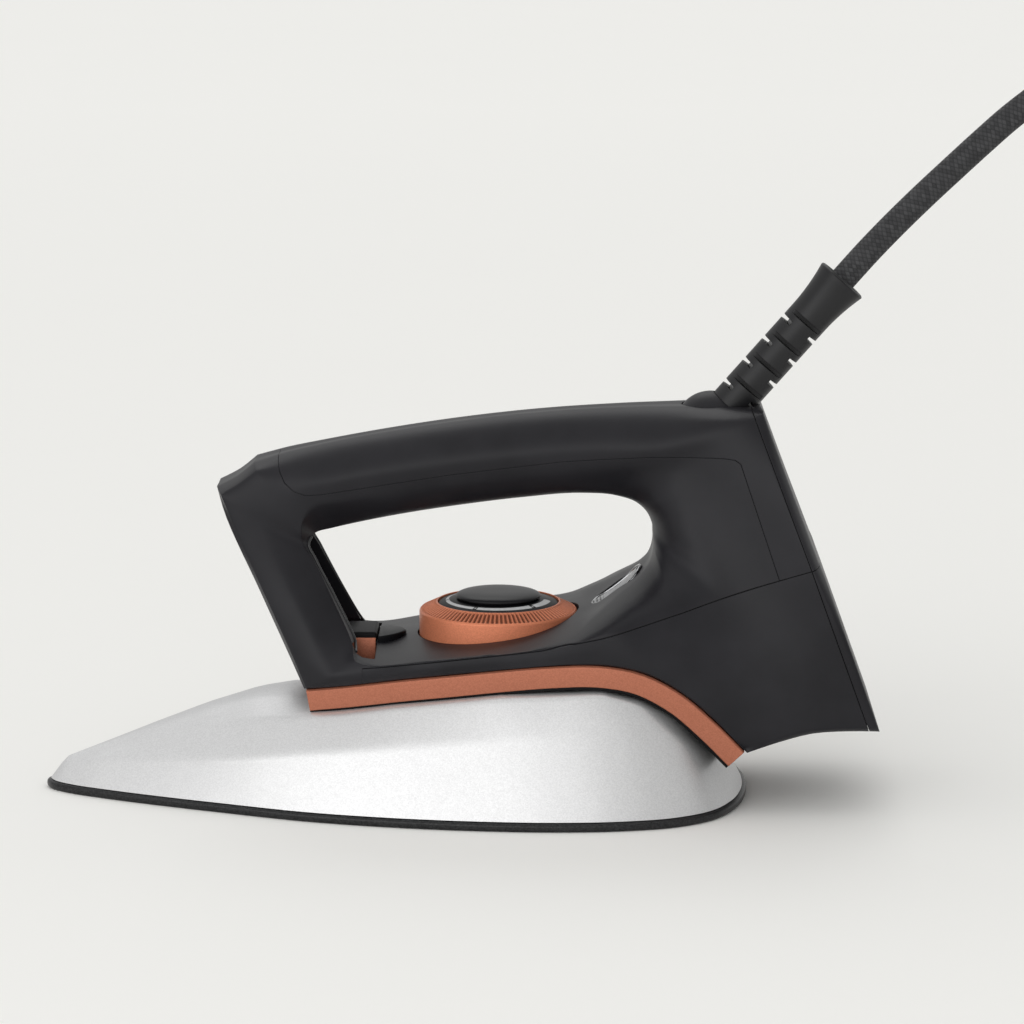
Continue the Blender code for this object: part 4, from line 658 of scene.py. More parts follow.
bodyShares = (
    ((-0.1144, 0.669), (-0.2203, 0.816), (0.17, 0.285, 0.31, 0.27, 0.13)),
    ((-0.1195, 0.65), (-0.2485, 0.7896), (0.20, 0.25, 0.31, 0.28, 0.13)),
    ((-0.1102, 0.614), (-0.2380, 0.746), (0.215, 0.245, 0.315, 0.30, 0.25)),
    ((-0.0805, 0.509), (-0.1845, 0.53), (0.23, 0.285, 0.385, 0.36, 0.30)),
    ((-0.0551, 0.42), (-0.1412, 0.364), (0.30, 0.39, 0.485, 0.435, 0.37)),
    ((-0.0472, 0.386), (-0.1237, 0.3015), (0.50, 0.55, 0.54, 0.463, 0.435)),
    ((-0.0237, 0.377), (-0.085, 0.313), (0.59, 0.602, 0.575, 0.515, 0.50)),
    ((0.0403, 0.391), (0.025, 0.3465), (0.64, 0.65, 0.65, 0.622, 0.61)),
    ((0.1102, 0.407), (0.102, 0.365), (0.675, 0.688, 0.69, 0.672, 0.66)),
    ((0.2064, 0.432), (0.195, 0.385), (0.706, 0.718, 0.722, 0.716, 0.70)),
    ((0.2458, 0.448), (0.25, 0.3925), (0.63, 0.727, 0.733, 0.728, 0.712)),
    ((0.278, 0.483), (0.305, 0.3895), (0.45, 0.727, 0.735, 0.731, 0.715)),
    ((0.3136, 0.5265), (0.356, 0.3675), (0.31, 0.716, 0.73, 0.725, 0.708)),
    ((0.3425, 0.565), (0.407, 0.314), (0.23, 0.688, 0.713, 0.707, 0.69)),
    ((0.3595, 0.603), (0.4534, 0.239), (0.18, 0.647, 0.693, 0.68, 0.66)),
    ((0.3645, 0.644), (0.4936, 0.1625), (0.155, 0.585, 0.668, 0.65, 0.632)),
    ((0.3644, 0.663), (0.5847, 0.207), (0.15, 0.525, 0.65, 0.625, 0.585)),
    ((0.3644, 0.678), (0.6795, 0.2095), (0.145, 0.475, 0.622, 0.61, 0.555)),
    ((0.3636, 0.692), (0.6385, 0.4318), (0.14, 0.45, 0.597, 0.605, 0.56)),
    ((0.361, 0.708), (0.5905, 0.632), (0.135, 0.405, 0.53, 0.56, 0.50)),
    ((0.3551, 0.7275), (0.5537, 0.803), (0.125, 0.355, 0.45, 0.475, 0.42)),
    ((0.3411, 0.75), (0.5137, 0.99), (0.115, 0.305, 0.37, 0.36, 0.31)),
    ((0.3136, 0.767), (0.4237, 0.9925), (0.11, 0.27, 0.34, 0.275, 0.15)),
    ((0.2627, 0.773), (0.3178, 0.988), (0.10, 0.255, 0.30, 0.225, 0.10)),
    ((0.1822, 0.762), (0.2034, 0.9745), (0.10, 0.255, 0.29, 0.21, 0.09)),
    ((0.0932, 0.742), (0.0932, 0.952), (0.10, 0.255, 0.287, 0.21, 0.09)),
    ((0.0085, 0.718), (-0.0169, 0.9215), (0.10, 0.26, 0.287, 0.21, 0.09)),
    ((-0.0508, 0.697), (-0.1017, 0.8925), (0.10, 0.275, 0.29, 0.215, 0.10)),
    ((-0.089, 0.682), (-0.1525, 0.872), (0.11, 0.286, 0.298, 0.235, 0.125)),
    ((-0.108, 0.675), (-0.1963, 0.8505), (0.135, 0.29, 0.303, 0.26, 0.13)))
# Where between the two points the three middle half widths lie
depthShares = (
    (0.13, 0.50, 0.94), (0.06, 0.50, 0.93), (0.03, 0.50, 0.93), (0.03, 0.50, 0.93), (0.03, 0.50, 0.93),
    (0.04, 0.50, 0.95), (0.04, 0.50, 0.97), (0.06, 0.50, 0.95), (0.06, 0.50, 0.95), (0.06, 0.50, 0.95),
    (0.13, 0.50, 0.95), (0.20, 0.55, 0.95), (0.25, 0.60, 0.95), (0.26, 0.60, 0.95), (0.27, 0.60, 0.95),
    (0.27, 0.60, 0.97), (0.27, 0.60, 0.96), (0.27, 0.60, 0.95), (0.30, 0.65, 0.94), (0.30, 0.65, 0.93),
    (0.30, 0.65, 0.92), (0.30, 0.65, 0.92), (0.28, 0.60, 0.88), (0.28, 0.58, 0.88), (0.28, 0.58, 0.88),
    (0.30, 0.58, 0.88), (0.33, 0.60, 0.88), (0.37, 0.62, 0.88), (0.37, 0.62, 0.90), (0.21, 0.55, 0.93))
# Roundness of each section: across it at its inner and outer point, and along the body at the same two
roundShares = (
    (0.0, 0.5, 1.0, 1.0), (0.1, 0.4, 1.0, 0.0), (0.0, 0.3, 1.0, 1.0), (0.0, 0.3, 1.0, 1.0),
    (0.0, 0.3, 1.0, 1.0), (0.0, 0.1, 0.6, 0.0), (0.0, 0.1, 1.0, 1.0), (0.0, 0.1, 1.0, 1.0),
    (0.0, 0.1, 1.0, 1.0), (0.0, 0.1, 1.0, 1.0), (0.15, 0.1, 1.0, 1.0), (0.3, 0.1, 1.0, 1.0),
    (0.5, 0.1, 1.0, 1.0), (0.6, 0.1, 1.0, 1.0), (0.8, 0.1, 1.0, 1.0), (1.0, 0.1, 1.0, 0.0),
    (1.0, 0.1, 1.0, 1.0), (1.0, 0.1, 1.0, 0.0), (1.0, 0.1, 1.0, 1.0), (1.0, 0.1, 1.0, 0.0),
    (1.0, 0.1, 1.0, 1.0), (1.0, 0.3, 1.0, 0.0), (1.0, 1.0, 1.0, 1.0), (1.0, 1.0, 1.0, 1.0),
    (1.0, 1.0, 1.0, 1.0), (1.0, 1.0, 1.0, 1.0), (1.0, 1.0, 1.0, 1.0), (0.3, 1.0, 1.0, 1.0),
    (0.0, 1.0, 1.0, 1.0), (0.0, 0.6, 1.0, 0.0))
partingShares = (
    (-0.04, 0.3675), (0.2064, 0.4265), (0.288, 0.4575), (0.3496, 0.486), (0.4059, 0.513), (0.4712, 0.5505),
    (0.5364, 0.5885), (0.597, 0.6255))
rearLineShares = ((0.6910, 0.15), (0.6795, 0.2095), (0.593, 0.634), (0.5153, 0.996), (0.4975, 1.08))
coverEdgeShares = (
    (-0.170, 0.95), (-0.163, 0.878), (-0.158, 0.84), (-0.1505, 0.812), (-0.138, 0.791), (-0.122, 0.7805),
    (-0.1, 0.782), (-0.0453, 0.7965), (0.08, 0.832), (0.2331, 0.866), (0.3581, 0.881), (0.46, 0.883),
    (0.476, 0.88), (0.4835, 0.871), (0.541, 0.57), (0.62, 0.57))
gripHollowShares = (
    (-0.11, 0.715), (0.0085, 0.754), (0.0932, 0.777), (0.1822, 0.797), (0.2627, 0.808), (0.40, 0.80),
    (0.40, 0.958), (0.3178, 0.962), (0.2034, 0.952), (0.0932, 0.93), (-0.0169, 0.898), (-0.10, 0.873),
    (-0.145, 0.845), (-0.14, 0.80))
deckHollowShares = (
    (-0.017, 0.15), (-0.017, 0.352), (0.2064, 0.407), (0.262, 0.43), (0.32, 0.455), (0.39, 0.49),
    (0.572, 0.49), (0.628, 0.262), (0.585, 0.241), (0.50, 0.197), (0.47, 0.15))
pillarHollowShares = ((0.42, 0.47), (0.42, 0.75), (0.535, 0.75), (0.575, 0.47))
lensShares = ((0.281, 0.4800), (0.297, 0.4955), (0.3166, 0.5205), (0.3345, 0.549), (0.3465, 0.575))
bodyShape = {"stepsAlong": 7, "stepsAcross": 6, "insertFront": -0.045, "insertBack": (0.32, 0.447),
             "insertWall": 0.0015, "shellWall": 0.0026, "deckHollowHalf": 0.514, "gripHollowHalf": 0.009,
             "pillarHollowHalf": 0.017, "swivelHollow": (0.013, 0.72, 0.922), "rearDepth": 0.0036,
             "heelInset": 0.0003, "heelScrewDepth": 0.0075, "trayFloor": 0.002, "seamStart": 0.47,
             "coverFront": 0.81, "partingSeam": 0.00022, "gripSeam": 0.00009, "rearSeam": 0.0002,
             "deckCrown": 0.0024, "crownRows": (5, 11), "pocketTop": 0.7, "frontScrewLow": 0.03,
             "calmRows": (10.6, 22.4, 1.8, 4), "calmColumns": (1.9, 4.1), "calmMiddle": (0.42, 0.6), "calmEdge": 0.8,
             "calmReach": 0.2, "edgeRows": (0.25, 4.75), "edgeRadius": 0.0005, "edgeRings": 60, "edgeSides": 12}
recessShape = {"top": (-0.1161, 0.655), "foot": (-0.0515, 0.398), "depth": 0.0105, "halfShares": (0.16, 0.265),
               "pocket": (-0.079, -0.042, -0.0245), "pocketHalves": (0.3, 0.465, 0.475), "blockHalf": 0.0095,
               "pocketBottom": 0.27, "ledge": (-0.0245, -0.0059, 0.0505, 0.0553), "ledgeRound": 0.0009}
dialShape = {"share": 0.1458, "radius": 0.0264, "height": 0.0104, "bevel": 0.0057, "bevelRise": 0.0027,
             "play": 0.0006, "rest": 0.0066, "discRadius": 0.02, "discThickness": 0.0016, "discRise": 0.0013,
             "capRadius": 0.0142, "capRise": 0.0040, "capWall": 0.53, "spindle": 0.003, "ribs": 104,
             "ribEdge": 1.4, "ribFade": 0.07, "grooveDepth": 0.00045, "bevelRange": (0.09, 0.97), "bevelSteps": 14,
             "discSteps": 9, "discBow": 0.1, "discSides": 160, "discEdge": 0.0002, "discHole": 0.0016,
             "capSteps": 24, "capSides": 128, "capPowers": (0.62, 0.9),
             # insets of the cap's foot and neck with the neck's lift, then inset and depth round its shoulder
             "capFoot": (0.0013, 0.0012, 0.0001), "capShoulder": ((0.0005, 0.0005), (0.0001, 0.0002)),
             # inset and lift of the points on the ring's two round edges and round its seat
             "outerEdge": ((0, -0.0064), (0, -0.0007), (0.00005, -0.00035), (0.00018, -0.0001), (0.0004, 0.00008)),
             "innerEdge": ((0.0002, -0.0002), (0.00005, 0.0), (-0.0001, 0.00008)), "lipEdge": (0.0001, 0.00008)}
lensShape = {"half": 0.0066, "rise": 0.0008, "depth": 0.0026, "blunt": 5, "rings": 41, "columns": 13,
             "leastWide": 0.1, "bow": 0.8, "pocketRings": 13, "pocketWide": 0.16}
screwShape = {"radius": 0.002, "head": 0.0037, "headHeight": 0.0024, "frontShare": -0.0615,
              "rearShare": 0.3, "bossRadius": 0.0055}


# Closed grid of the whole body: the section corners are joined across and along by the same soft curve
def bodyGrid():
    stepsAlong, stepsAcross = bodyShape["stepsAlong"], bodyShape["stepsAcross"]
    inner, outer = (np.array([row[index] for row in bodyShares]) * (soleLength, handleHeight) for index in (0, 1))
    halves = np.array([row[2] for row in bodyShares]) * halfWidth
    depths, rounds = np.array(depthShares), np.array(roundShares)
    zero, one = np.zeros((len(inner), 1)), np.ones((len(inner), 1))
    depth = np.hstack((zero, zero, depths, one, one, one, depths[:, ::-1], zero))
    half = np.hstack((zero, halves, zero, -halves[:, ::-1]))
    spot = inner[:, None] + (outer - inner)[:, None] * depth[..., None]
    points = np.stack((spot[..., 0], half, spot[..., 1]), axis=-1)
    points[slice(*bodyShape["crownRows"]), 0, 2] += bodyShape["deckCrown"]
    across = rounds[:, :1] + (rounds[:, 1:2] - rounds[:, :1]) * depth
    across[:, (0, 3, 6, 9)] = 1.0
    along = rounds[:, 2:3] + (rounds[:, 3:] - rounds[:, 2:3]) * depth**3
    points = refine(points, along, stepsAlong)
    across = refine(across[..., None], np.zeros(across.shape), stepsAlong)[..., 0]
    return calmFlank(refine(points.transpose(1, 0, 2), across.T, stepsAcross).transpose(1, 0, 2))


# Evens out the flank of the rear pillar: the half width there is a polynomial of the place in side view, fitted
# to the sections by least squares, and fades back into them at the first and last rows and at both edges
def calmFlank(points):
    first, last, fade, degree = bodyShape["calmRows"]
    low, high = bodyShape["calmColumns"]
    row = np.arange(len(points)) / bodyShape["stepsAlong"]
    column = np.abs((np.arange(points.shape[1]) / bodyShape["stepsAcross"] + 6) % 12 - 6)
    alongWeight = np.clip((row - first) / fade, 0, 1) * np.clip((last - row) / fade, 0, 1)
    acrossWeight = np.clip(column - 1, 0, 1) * np.clip((5 - column) / bodyShape["calmEdge"], 0, 1)
    weight = eased(alongWeight[:, None] * acrossWeight[None])
    chosen = ((row > first - 1) & (row < last + 1))[:, None] & ((column >= low) & (column <= high))[None]
    flat = (points[..., (0, 2)] - place(*bodyShape["calmMiddle"])) / (soleLength * bodyShape["calmReach"])
    powers = [(i, j) for i in range(degree + 1) for j in range(degree + 1 - i)]
    terms = np.stack([flat[..., 0] ** i * flat[..., 1] ** j for i, j in powers], axis=-1)
    fitted = np.linalg.lstsq(terms[chosen], np.abs(points[..., 1][chosen]), rcond=None)[0]
    smooth = np.clip(terms @ fitted, 0, halfWidth) * np.sign(points[..., 1])
    side = points[..., 1] + (smooth - points[..., 1]) * weight
    return np.stack((points[..., 0], side, points[..., 2]), axis=-1)


def shifted(outline, right, up):
    return [(x + right, z + up) for x, z in outline]


def deckHeight(x):
    line = np.array([row[0] for row in bodyShares[5:12]]) * (soleLength, handleHeight)
    return float(np.interp(x, line[:, 0], line[:, 1]))


dialX = dialShape["share"] * soleLength
dialTop = deckHeight(dialX) + dialShape["rest"]
dialFloor = dialTop - dialShape["height"] - dialShape["play"]
dialCrown = dialTop + dialShape["bevelRise"]
discSeat = dialCrown - dialShape["discThickness"] - gap * 2
wellRadius, spindleHole = dialShape["radius"] + dialShape["play"], dialShape["spindle"] + dialShape["play"]
# Corners round the lens's pocket: shares of its half width and of its reach up and down
lensPocketCorners = ((0, 1), (0.7, 0.8), (1, 0), (1, -1), (-1, -1), (-1, 0), (-0.7, 0.8))


# Volume below the parting line, without the deck plate that lies inside the skirt's walls
def skirtRegion(growth):
    line = shifted(placed(partingShares), 0.0, growth)
    far = handleHeight + soleLength
    outline = [(line[0][0], -overrun), *line, (far, line[-1][1]), (far, -overrun)]
    region = prismCutter("skirtRegion", outline, halfWidth * 2)
    wall = bodyShape["insertWall"]
    wellFloor = dialFloor - bodyShape["trayFloor"] - wall * 2
    wellEnd = dialX + wellRadius + bodyShape["shellWall"] + wall * 2
    backX, backZ = place(*bodyShape["insertBack"])
    backX = max(backX, wellEnd + wall)
    plate = [(bodyShape["insertFront"] * soleLength, wellFloor - wall * 2), (wellEnd, wellFloor),
             (wellEnd + wall, backZ - wall), (backX - growth, backZ)]
    plate = shifted(plate, 0.0, growth)
    outline = [*plate, (plate[-1][0], handleHeight), (plate[0][0], handleHeight)]
    carve(region, prismCutter("skirtInsert", outline, bodyShape["deckHollowHalf"] * halfWidth + wall - growth))
    return region


def rearRegion(depth):
    line = shifted(placed(rearLineShares), -depth, 0.0)
    far = handleHeight + soleLength
    return prismCutter("rearRegion", line + [(far, line[-1][1]), (far, line[0][1])], halfWidth * 2)


def gripRegion(growth):
    line = np.array(coverEdgeShares)
    moved = (line[:, 1] > bodyShape["coverFront"]) | (line[:, 0] > bodyShape["seamStart"])
    line = line * (soleLength, handleHeight) - np.stack((growth * moved, np.full(len(line), growth)), axis=1)
    line, top = line.tolist(), handleHeight + overrun * 2
    return prismCutter("gripRegion", line + [(line[-1][0], top), (line[0][0], top)], halfWidth * 2)


# Sections across the band line, each corner given by its inset from the side and its depth below the line
def bandRings(corners, steps=1):
    line = np.array(bandLineShares) * (soleLength, handleHeight, halfWidth)
    if steps > 1:
        line = smoothRoute(line, (len(line) - 1) * steps + 1)
    tangent = tangents(line[:, :2])
    down = np.stack((tangent[:, 1], -tangent[:, 0]), axis=1)
    inset, depth = np.array(corners).T
    ring = np.stack((line[:, :1] + down[:, :1] * depth, line[:, 2:] - inset, line[:, 1:2] + down[:, 1:] * depth), -1)
    return np.concatenate((ring, ring[:, ::-1] * (1, -1, 1)), axis=1)


# Lens: the line that it follows behind the deck, lengthened by a reach, its normals and its half widths, which fall
# as the root of 1 less a power of the run
def lensSpine(half, count, least, reach=0.0):
    line = np.array(placed(lensShares))
    line[[0, -1]] += unit(line[[0, -1]] - line[[1, -2]]) * reach
    spine = smoothRoute(np.column_stack((line[:, 0], np.zeros(len(line)), line[:, 1])), count)
    tangent = tangents(spine)
    normal = np.column_stack((-tangent[:, 2], np.zeros(count), tangent[:, 0]))
    run = np.abs(np.linspace(-1, 1, count))
    return spine, normal, half * np.sqrt(np.maximum(1 - run ** lensShape["blunt"], least))


# Sections on that line: shares of the half width sideways, and heights along the normals
def lensRings(spine, normal, width, side, height):
    across = (width[:, None] * side[None])[..., None] * np.array((0.0, 1.0, 0.0))
    return spine[:, None] + normal[:, None] * height[None, :, None] + across


def recessRings():
    rings = []
    for (x, z), share in zip(placed((recessShape["top"], recessShape["foot"])), recessShape["halfShares"]):
        back, front, half = x - recessShape["depth"], x + overrun, share * halfWidth
        rings.append([(back, half, z), (front, half, z), (front, -half, z), (back, -half, z)])
    return rings


# Pocket on each side of the block at the foot of the recess
def recessPockets(top):
    along = np.array(recessShape["pocket"]) * soleLength
    halves, block = np.array(recessShape["pocketHalves"]) * halfWidth, recessShape["blockHalf"]
    plan = np.array([(along[0], block), (along[-1], block), *zip(along[::-1], halves[::-1])])
    levels = recessShape["pocketBottom"] * handleHeight, top
    return [loftPiece("pocket", [np.column_stack((plan * (1, side), np.full(len(plan), z))) for z in levels], None)
            for side in (1, -1)]


# Place and outward direction of the heel plate's screw, on the flat of the rear line
def heelSeat():
    low, high = (np.array(place(*spot)) for spot in rearLineShares[1:3])
    along, middle = unit(high - low), (low + high) / 2
    outward = np.array((along[1], 0.0, -along[0]))
    depth = bodyShape["heelInset"] + screwShape["headHeight"] + gap
    return np.array((middle[0], 0.0, middle[1])) - outward * depth, outward


def makeHandleBody():
    screwHole, headHole = screwShape["radius"] + gap, screwShape["head"] + gap
    footZ = recessShape["foot"][1] * handleHeight
    belowBand = loftPiece("belowBand", bandRings(((-overrun, 0.0), (-overrun, halfWidth))), None)
    deckHollow = prismCutter("deckHollow", placed(deckHollowShares), bodyShape["deckHollowHalf"] * halfWidth)
    carve(deckHollow, holeCutter("dialWell", dialX, wellRadius + bodyShape["shellWall"],
                                 dialFloor - bodyShape["trayFloor"], handleHeight))
    pillarHollow = prismCutter("pillarHollow", placed(pillarHollowShares), bodyShape["pillarHollowHalf"])
    gripHollow = prismCutter("gripHollow", placed(gripHollowShares), bodyShape["gripHollowHalf"])
    radius, low, high = bodyShape["swivelHollow"]
    swivelHollow = holeCutter("swivelHollow", ballX, radius, low * handleHeight, high * handleHeight)
    ballRoom = turnedPiece("ballRoom", ballProfile(ballShape["radius"] + ballShape["play"], 26), ballCentre,
                           (0, 0, 1), None, 48)
    sleeveRoom = rodCutter("sleeveRoom", ballCentre, sleeveWay, sleeveShape["radius"] + sleeveShape["play"], 0.0,
                           sleeveShape["length"])
    below, belowWide = skirtRegion(0.0), skirtRegion(bodyShape["partingSeam"])
    rear, rearWide = rearRegion(bodyShape["rearDepth"]), rearRegion(bodyShape["rearDepth"] + bodyShape["rearSeam"])
    grip, gripWide = gripRegion(0.0), gripRegion(bodyShape["gripSeam"])
    openings = (
        holeCutter("dialPocket", dialX, wellRadius, dialFloor, handleHeight * bodyShape["pocketTop"], 128),
        holeCutter("spindleHole", dialX, spindleHole, dialFloor - overrun * 2, dialFloor + overrun),
        loftPiece("recess", recessRings(), None), *recessPockets(footZ + overrun / 2),
        loftPiece("lensPocket", lensRings(
            *lensSpine(lensShape["half"] + gap, lensShape["pocketRings"], lensShape["pocketWide"], gap),
            *(np.array(lensPocketCorners) * (1, overrun)).T), None),
        holeCutter("frontHole", screwShape["frontShare"] * soleLength, screwHole, bodyShape["frontScrewLow"],
                   footZ + overrun))
    seat, outward = heelSeat()
    hole = rodCutter("heelHole", seat, outward, screwHole, -bodyShape["heelScrewDepth"], overrun)
    head = rodCutter("heelHead", seat, outward, headHole, -gap, overrun * 2)
    forms = (("handleShell", "handle_shell", (), (rearWide, belowBand, belowWide, gripWide, deckHollow,
                                                  pillarHollow, gripHollow, swivelHollow, *openings)),
             ("bodySkirt", "body_skirt", (below,), (rearWide, belowBand, deckHollow, pillarHollow)),
             ("gripCover", "grip_cover", (grip,), (rearWide, belowWide, pillarHollow, gripHollow, swivelHollow,
                                                   ballRoom, sleeveRoom)),
             ("rearPanel", "rear_panel", (rear,), (belowWide, sleeveRoom)),
             ("heelPlate", "heel_plate", (rear, below), (rearRegion(bodyShape["heelInset"]), hole, head)))
    grid = bodyGrid()
    for name, node, keep, away in forms:
        form = loftPiece(name, grid, satinBlack, joined=True, slot="black", replaced=(node,))
        carveAll(form, keep, away)
        if name == "bodySkirt":
            carve(form, hole)
    clearCutters()


# Bead on both inner edges of the front post: a round section carried along the body grid's own corner line
def makePostEdges():
    grid, across = bodyGrid(), bodyShape["stepsAcross"]
    low, high = (int(row * bodyShape["stepsAlong"]) for row in bodyShape["edgeRows"])
    for name, column in (("postEdgeNear", -across), ("postEdgeFar", across)):
        line = smoothRoute(grid[low:high, column], bodyShape["edgeRings"])
        forward = tangents(line)
        side = unit(np.cross(forward, (0.0, 1.0, 0.0)))
        rings = tubeRings(line, side, np.cross(forward, side), bodyShape["edgeRadius"], bodyShape["edgeSides"])
        # The beads take the lighter black, which paints a highlight line along each edge of the post
        loftPiece(name, rings, edgeHighlightBlack, slot="black")


makeHandleBody()
makePostEdges()
print("handle body carved")


# Soleplate and metal cover: one outline, carried up as rings that are the same on both sides
soleShape = {"rimHeight": 0.0028, "rimRound": 0.0011, "thickness": 0.0074, "step": 0.016, "steps": 5,
             "bossLevels": (0.005, 0.01)}
coverShape = {"wall": 0.0012, "inset": 0.0014, "creases": (0.0, 0.0022, 0.0026, 0.003, 0.002), "creaseSteps": 4,
              "creaseMost": 0.45, "leastWide": 0.2,
              "wireWay": 0.0232, "pinShare": 0.378, "cutLevels": (0.01, handleHeight / 2)}


def soleOutline():
    half = np.array(soleOutlineShares) * (soleLength, halfWidth)
    points = np.vstack((half, half[1:-1][::-1] * (1, -1)))
    return refine(points, np.ones(len(points)), soleShape["steps"])


# Inset: the outline scaled so that its furthest points along and across move in by that much
def insetRing(outline, inset, height):
    scale = np.array((1 - inset / (soleLength / 2), 1 - inset / halfWidth))
    return np.column_stack((outline * scale, np.full(len(outline), height)))


# Closed loft of mirrored rings: its two ends are strips from one side to the other
def mirroredPiece(name, rings, material, **settings):
    rings = np.asarray(rings, float)
    rows, columns = rings.shape[:2]
    points = rings.reshape(-1, 3)
    quads = gridQuads(rows, columns, False, True)
    turned = facesOutwards(points, quads)
    column = np.arange(1, columns // 2 - 1)
    strips = np.stack((column, column + 1, columns - column - 1, columns - column), axis=1)
    tips = np.array(((0, 1, columns - 1), (columns // 2 - 1, columns // 2, columns // 2 + 1)))
    last, way = (rows - 1) * columns, -1 if turned is quads else 1
    faces = turned.tolist() + strips[:, ::way].tolist() + tips[:, ::way].tolist()
    faces += (strips[:, ::-way] + last).tolist() + (tips[:, ::-way] + last).tolist()
    return meshPiece(name, points, faces, material, **settings)


# Soft creases: each marked ring gives way to a short curve between points on both of its sides
def softRings(rings, reaches, steps):
    made, most = [rings[0]], coverShape["creaseMost"]
    share = np.linspace(0, 1, steps + 1)[:, None, None]
    for before, ring, after, reach in zip(rings[:-2], rings[1:-1], rings[2:], reaches[1:]):
        low, high = (ring + way * np.minimum(most, reach / np.maximum(np.linalg.norm(way, axis=1), 1e-9))[:, None]
                     for way in (before - ring, after - ring))
        made.extend((1 - share) ** 2 * low + 2 * share * (1 - share) * ring + share**2 * high)
    return made + [rings[-1]]


# Cover rings: foot, lower crease, upper crease and the low dome above it
def coverRings(wall):
    outline = soleOutline()
    foot = insetRing(outline, coverShape["inset"] + wall, soleShape["rimHeight"] + gap - (overrun if wall else 0.0))
    rings = [foot]
    for table in (lowerCreaseShares, upperCreaseShares):
        ends = table[0][0], table[-1][0]
        share = ends[0] + (outline[:, 0] / soleLength + 0.5) * (ends[1] - ends[0])
        height = tableAt(table, share, 1) * handleHeight - wall
        across = outline[:, 1] * tableAt(table, share, 2)
        across = np.sign(across) * np.maximum(np.abs(across) - wall, np.abs(across) * coverShape["leastWide"])
        along = share * soleLength * (1 - wall / (soleLength / 2))
        rings.append(np.column_stack((along, across, height)))
    crown = tableAt(crownLineShares, share, 1) * handleHeight
    rings += [np.column_stack((along, across * wide, height + crown * high)) for wide, high in crownRingShares]
    return rings


def screwPlaces():
    wellEnd = dialX + wellRadius + bodyShape["shellWall"]
    return (screwShape["frontShare"] * soleLength,
            max(screwShape["rearShare"] * soleLength, wellEnd + screwShape["head"] + gap))


# Upright holes at both screws
def screwCutters(radius, low, high, segments=48):
    return [holeCutter("screwHole", x, radius, low, high, segments) for x in screwPlaces()]


def slotCutter(x, reach, half):
    low, high = coverShape["cutLevels"]
    return boxCutter("slot", (x - reach, -half, low), (x + reach, half, high))


# Rim: a quarter circle at the bottom edge and one at the top edge, from the sine and cosine of the turn
def makeSoleplate():
    outline, radius, high = soleOutline(), soleShape["rimRound"], soleShape["rimHeight"]
    turns = [(1 - math.sin(t), 1 - math.cos(t)) for t in np.linspace(0, math.pi / 2, 5)]
    rings = [insetRing(outline, radius * fall, radius * rise) for fall, rise in turns]
    rings += [insetRing(outline, radius * rise, high - radius * fall) for fall, rise in turns]
    rings += [insetRing(outline, soleShape["step"], z) for z in (high, soleShape["thickness"])]
    plate = mirroredPiece("solePlate", rings, soleCoat, slot="sole", replaced=("soleplate",))
    carve(plate, *screwCutters(screwShape["radius"] + gap, *soleShape["bossLevels"], 24))
    clearCutters()


def makeCover():
    rings = softRings(coverRings(0.0), coverShape["creases"], coverShape["creaseSteps"])
    cover = mirroredPiece("paintedCover", rings, silverPaint, slot="silver", replaced=("metal_cover",))
    inside = mirroredPiece("coverInside", coverRings(coverShape["wall"]), None)
    levels, way = coverShape["cutLevels"], coverShape["wireWay"]
    carve(cover, inside, holeCutter("spindleHole", dialX, dialShape["spindle"] + dialShape["play"] * 2, *levels),
          *screwCutters(screwShape["bossRadius"] + gap * 2, *levels),
          slotCutter(coverShape["pinShare"] * soleLength, way / 4, way))
    clearCutters()


# Copper tray: the band round the foot of the body, its small tabs and the upstands in the post's two pockets
trayShape = {"lip": (0.0009, 0.0009), "band": 0.0075, "floor": 0.002, "wall": 0.0025, "round": 0.0006, "steps": 4,
             "chamfer": 0.3, "tabs": (0.0046, 0.0138, 0.0538), "tabSize": (0.0011, 0.0008, 0.0013),
             "upstand": (-0.0186, -0.0062, 0.0401, 0.0536), "upstandThick": 0.0012,
             "upstandRound": (0.0003, 0.0003), "tabRound": (0.0002, 0.0001)}
blockSteps = {"corner": 6, "edge": 5}


def makeTray():
    soft, high, wall = trayShape["round"], trayShape["band"], trayShape["wall"]
    cut = soft * trayShape["chamfer"]
    corners = ((gap + soft, gap), (gap, gap + soft), (gap, high - soft), (gap + cut, high - cut),
               (gap + soft, high), (wall, high), (wall, trayShape["floor"]))
    tray = loftPiece("copperTray", bandRings(corners, trayShape["steps"]), copperPaint, slot="copper",
                     replaced=("trim_tray",))
    around, way = dialShape["radius"] + dialShape["play"] * 3, coverShape["wireWay"]
    carve(tray, slotCutter(dialX, around, around), slotCutter(coverShape["pinShare"] * soleLength, way / 2, way),
          *screwCutters(screwShape["radius"] + gap * 2, *coverShape["cutLevels"], 24))
    clearCutters()
    # Painted shadow: a near-black strip stands just below the band's lower edge, a dark sheet where the gap under the
    # band holds only shade
    inset, low = trayShape["lip"]
    lip = bandRings(((inset, high - low), (inset, high + low)), trayShape["steps"])
    loftPiece("bandShadowStrip", lip, shadedBlack, slot="black")


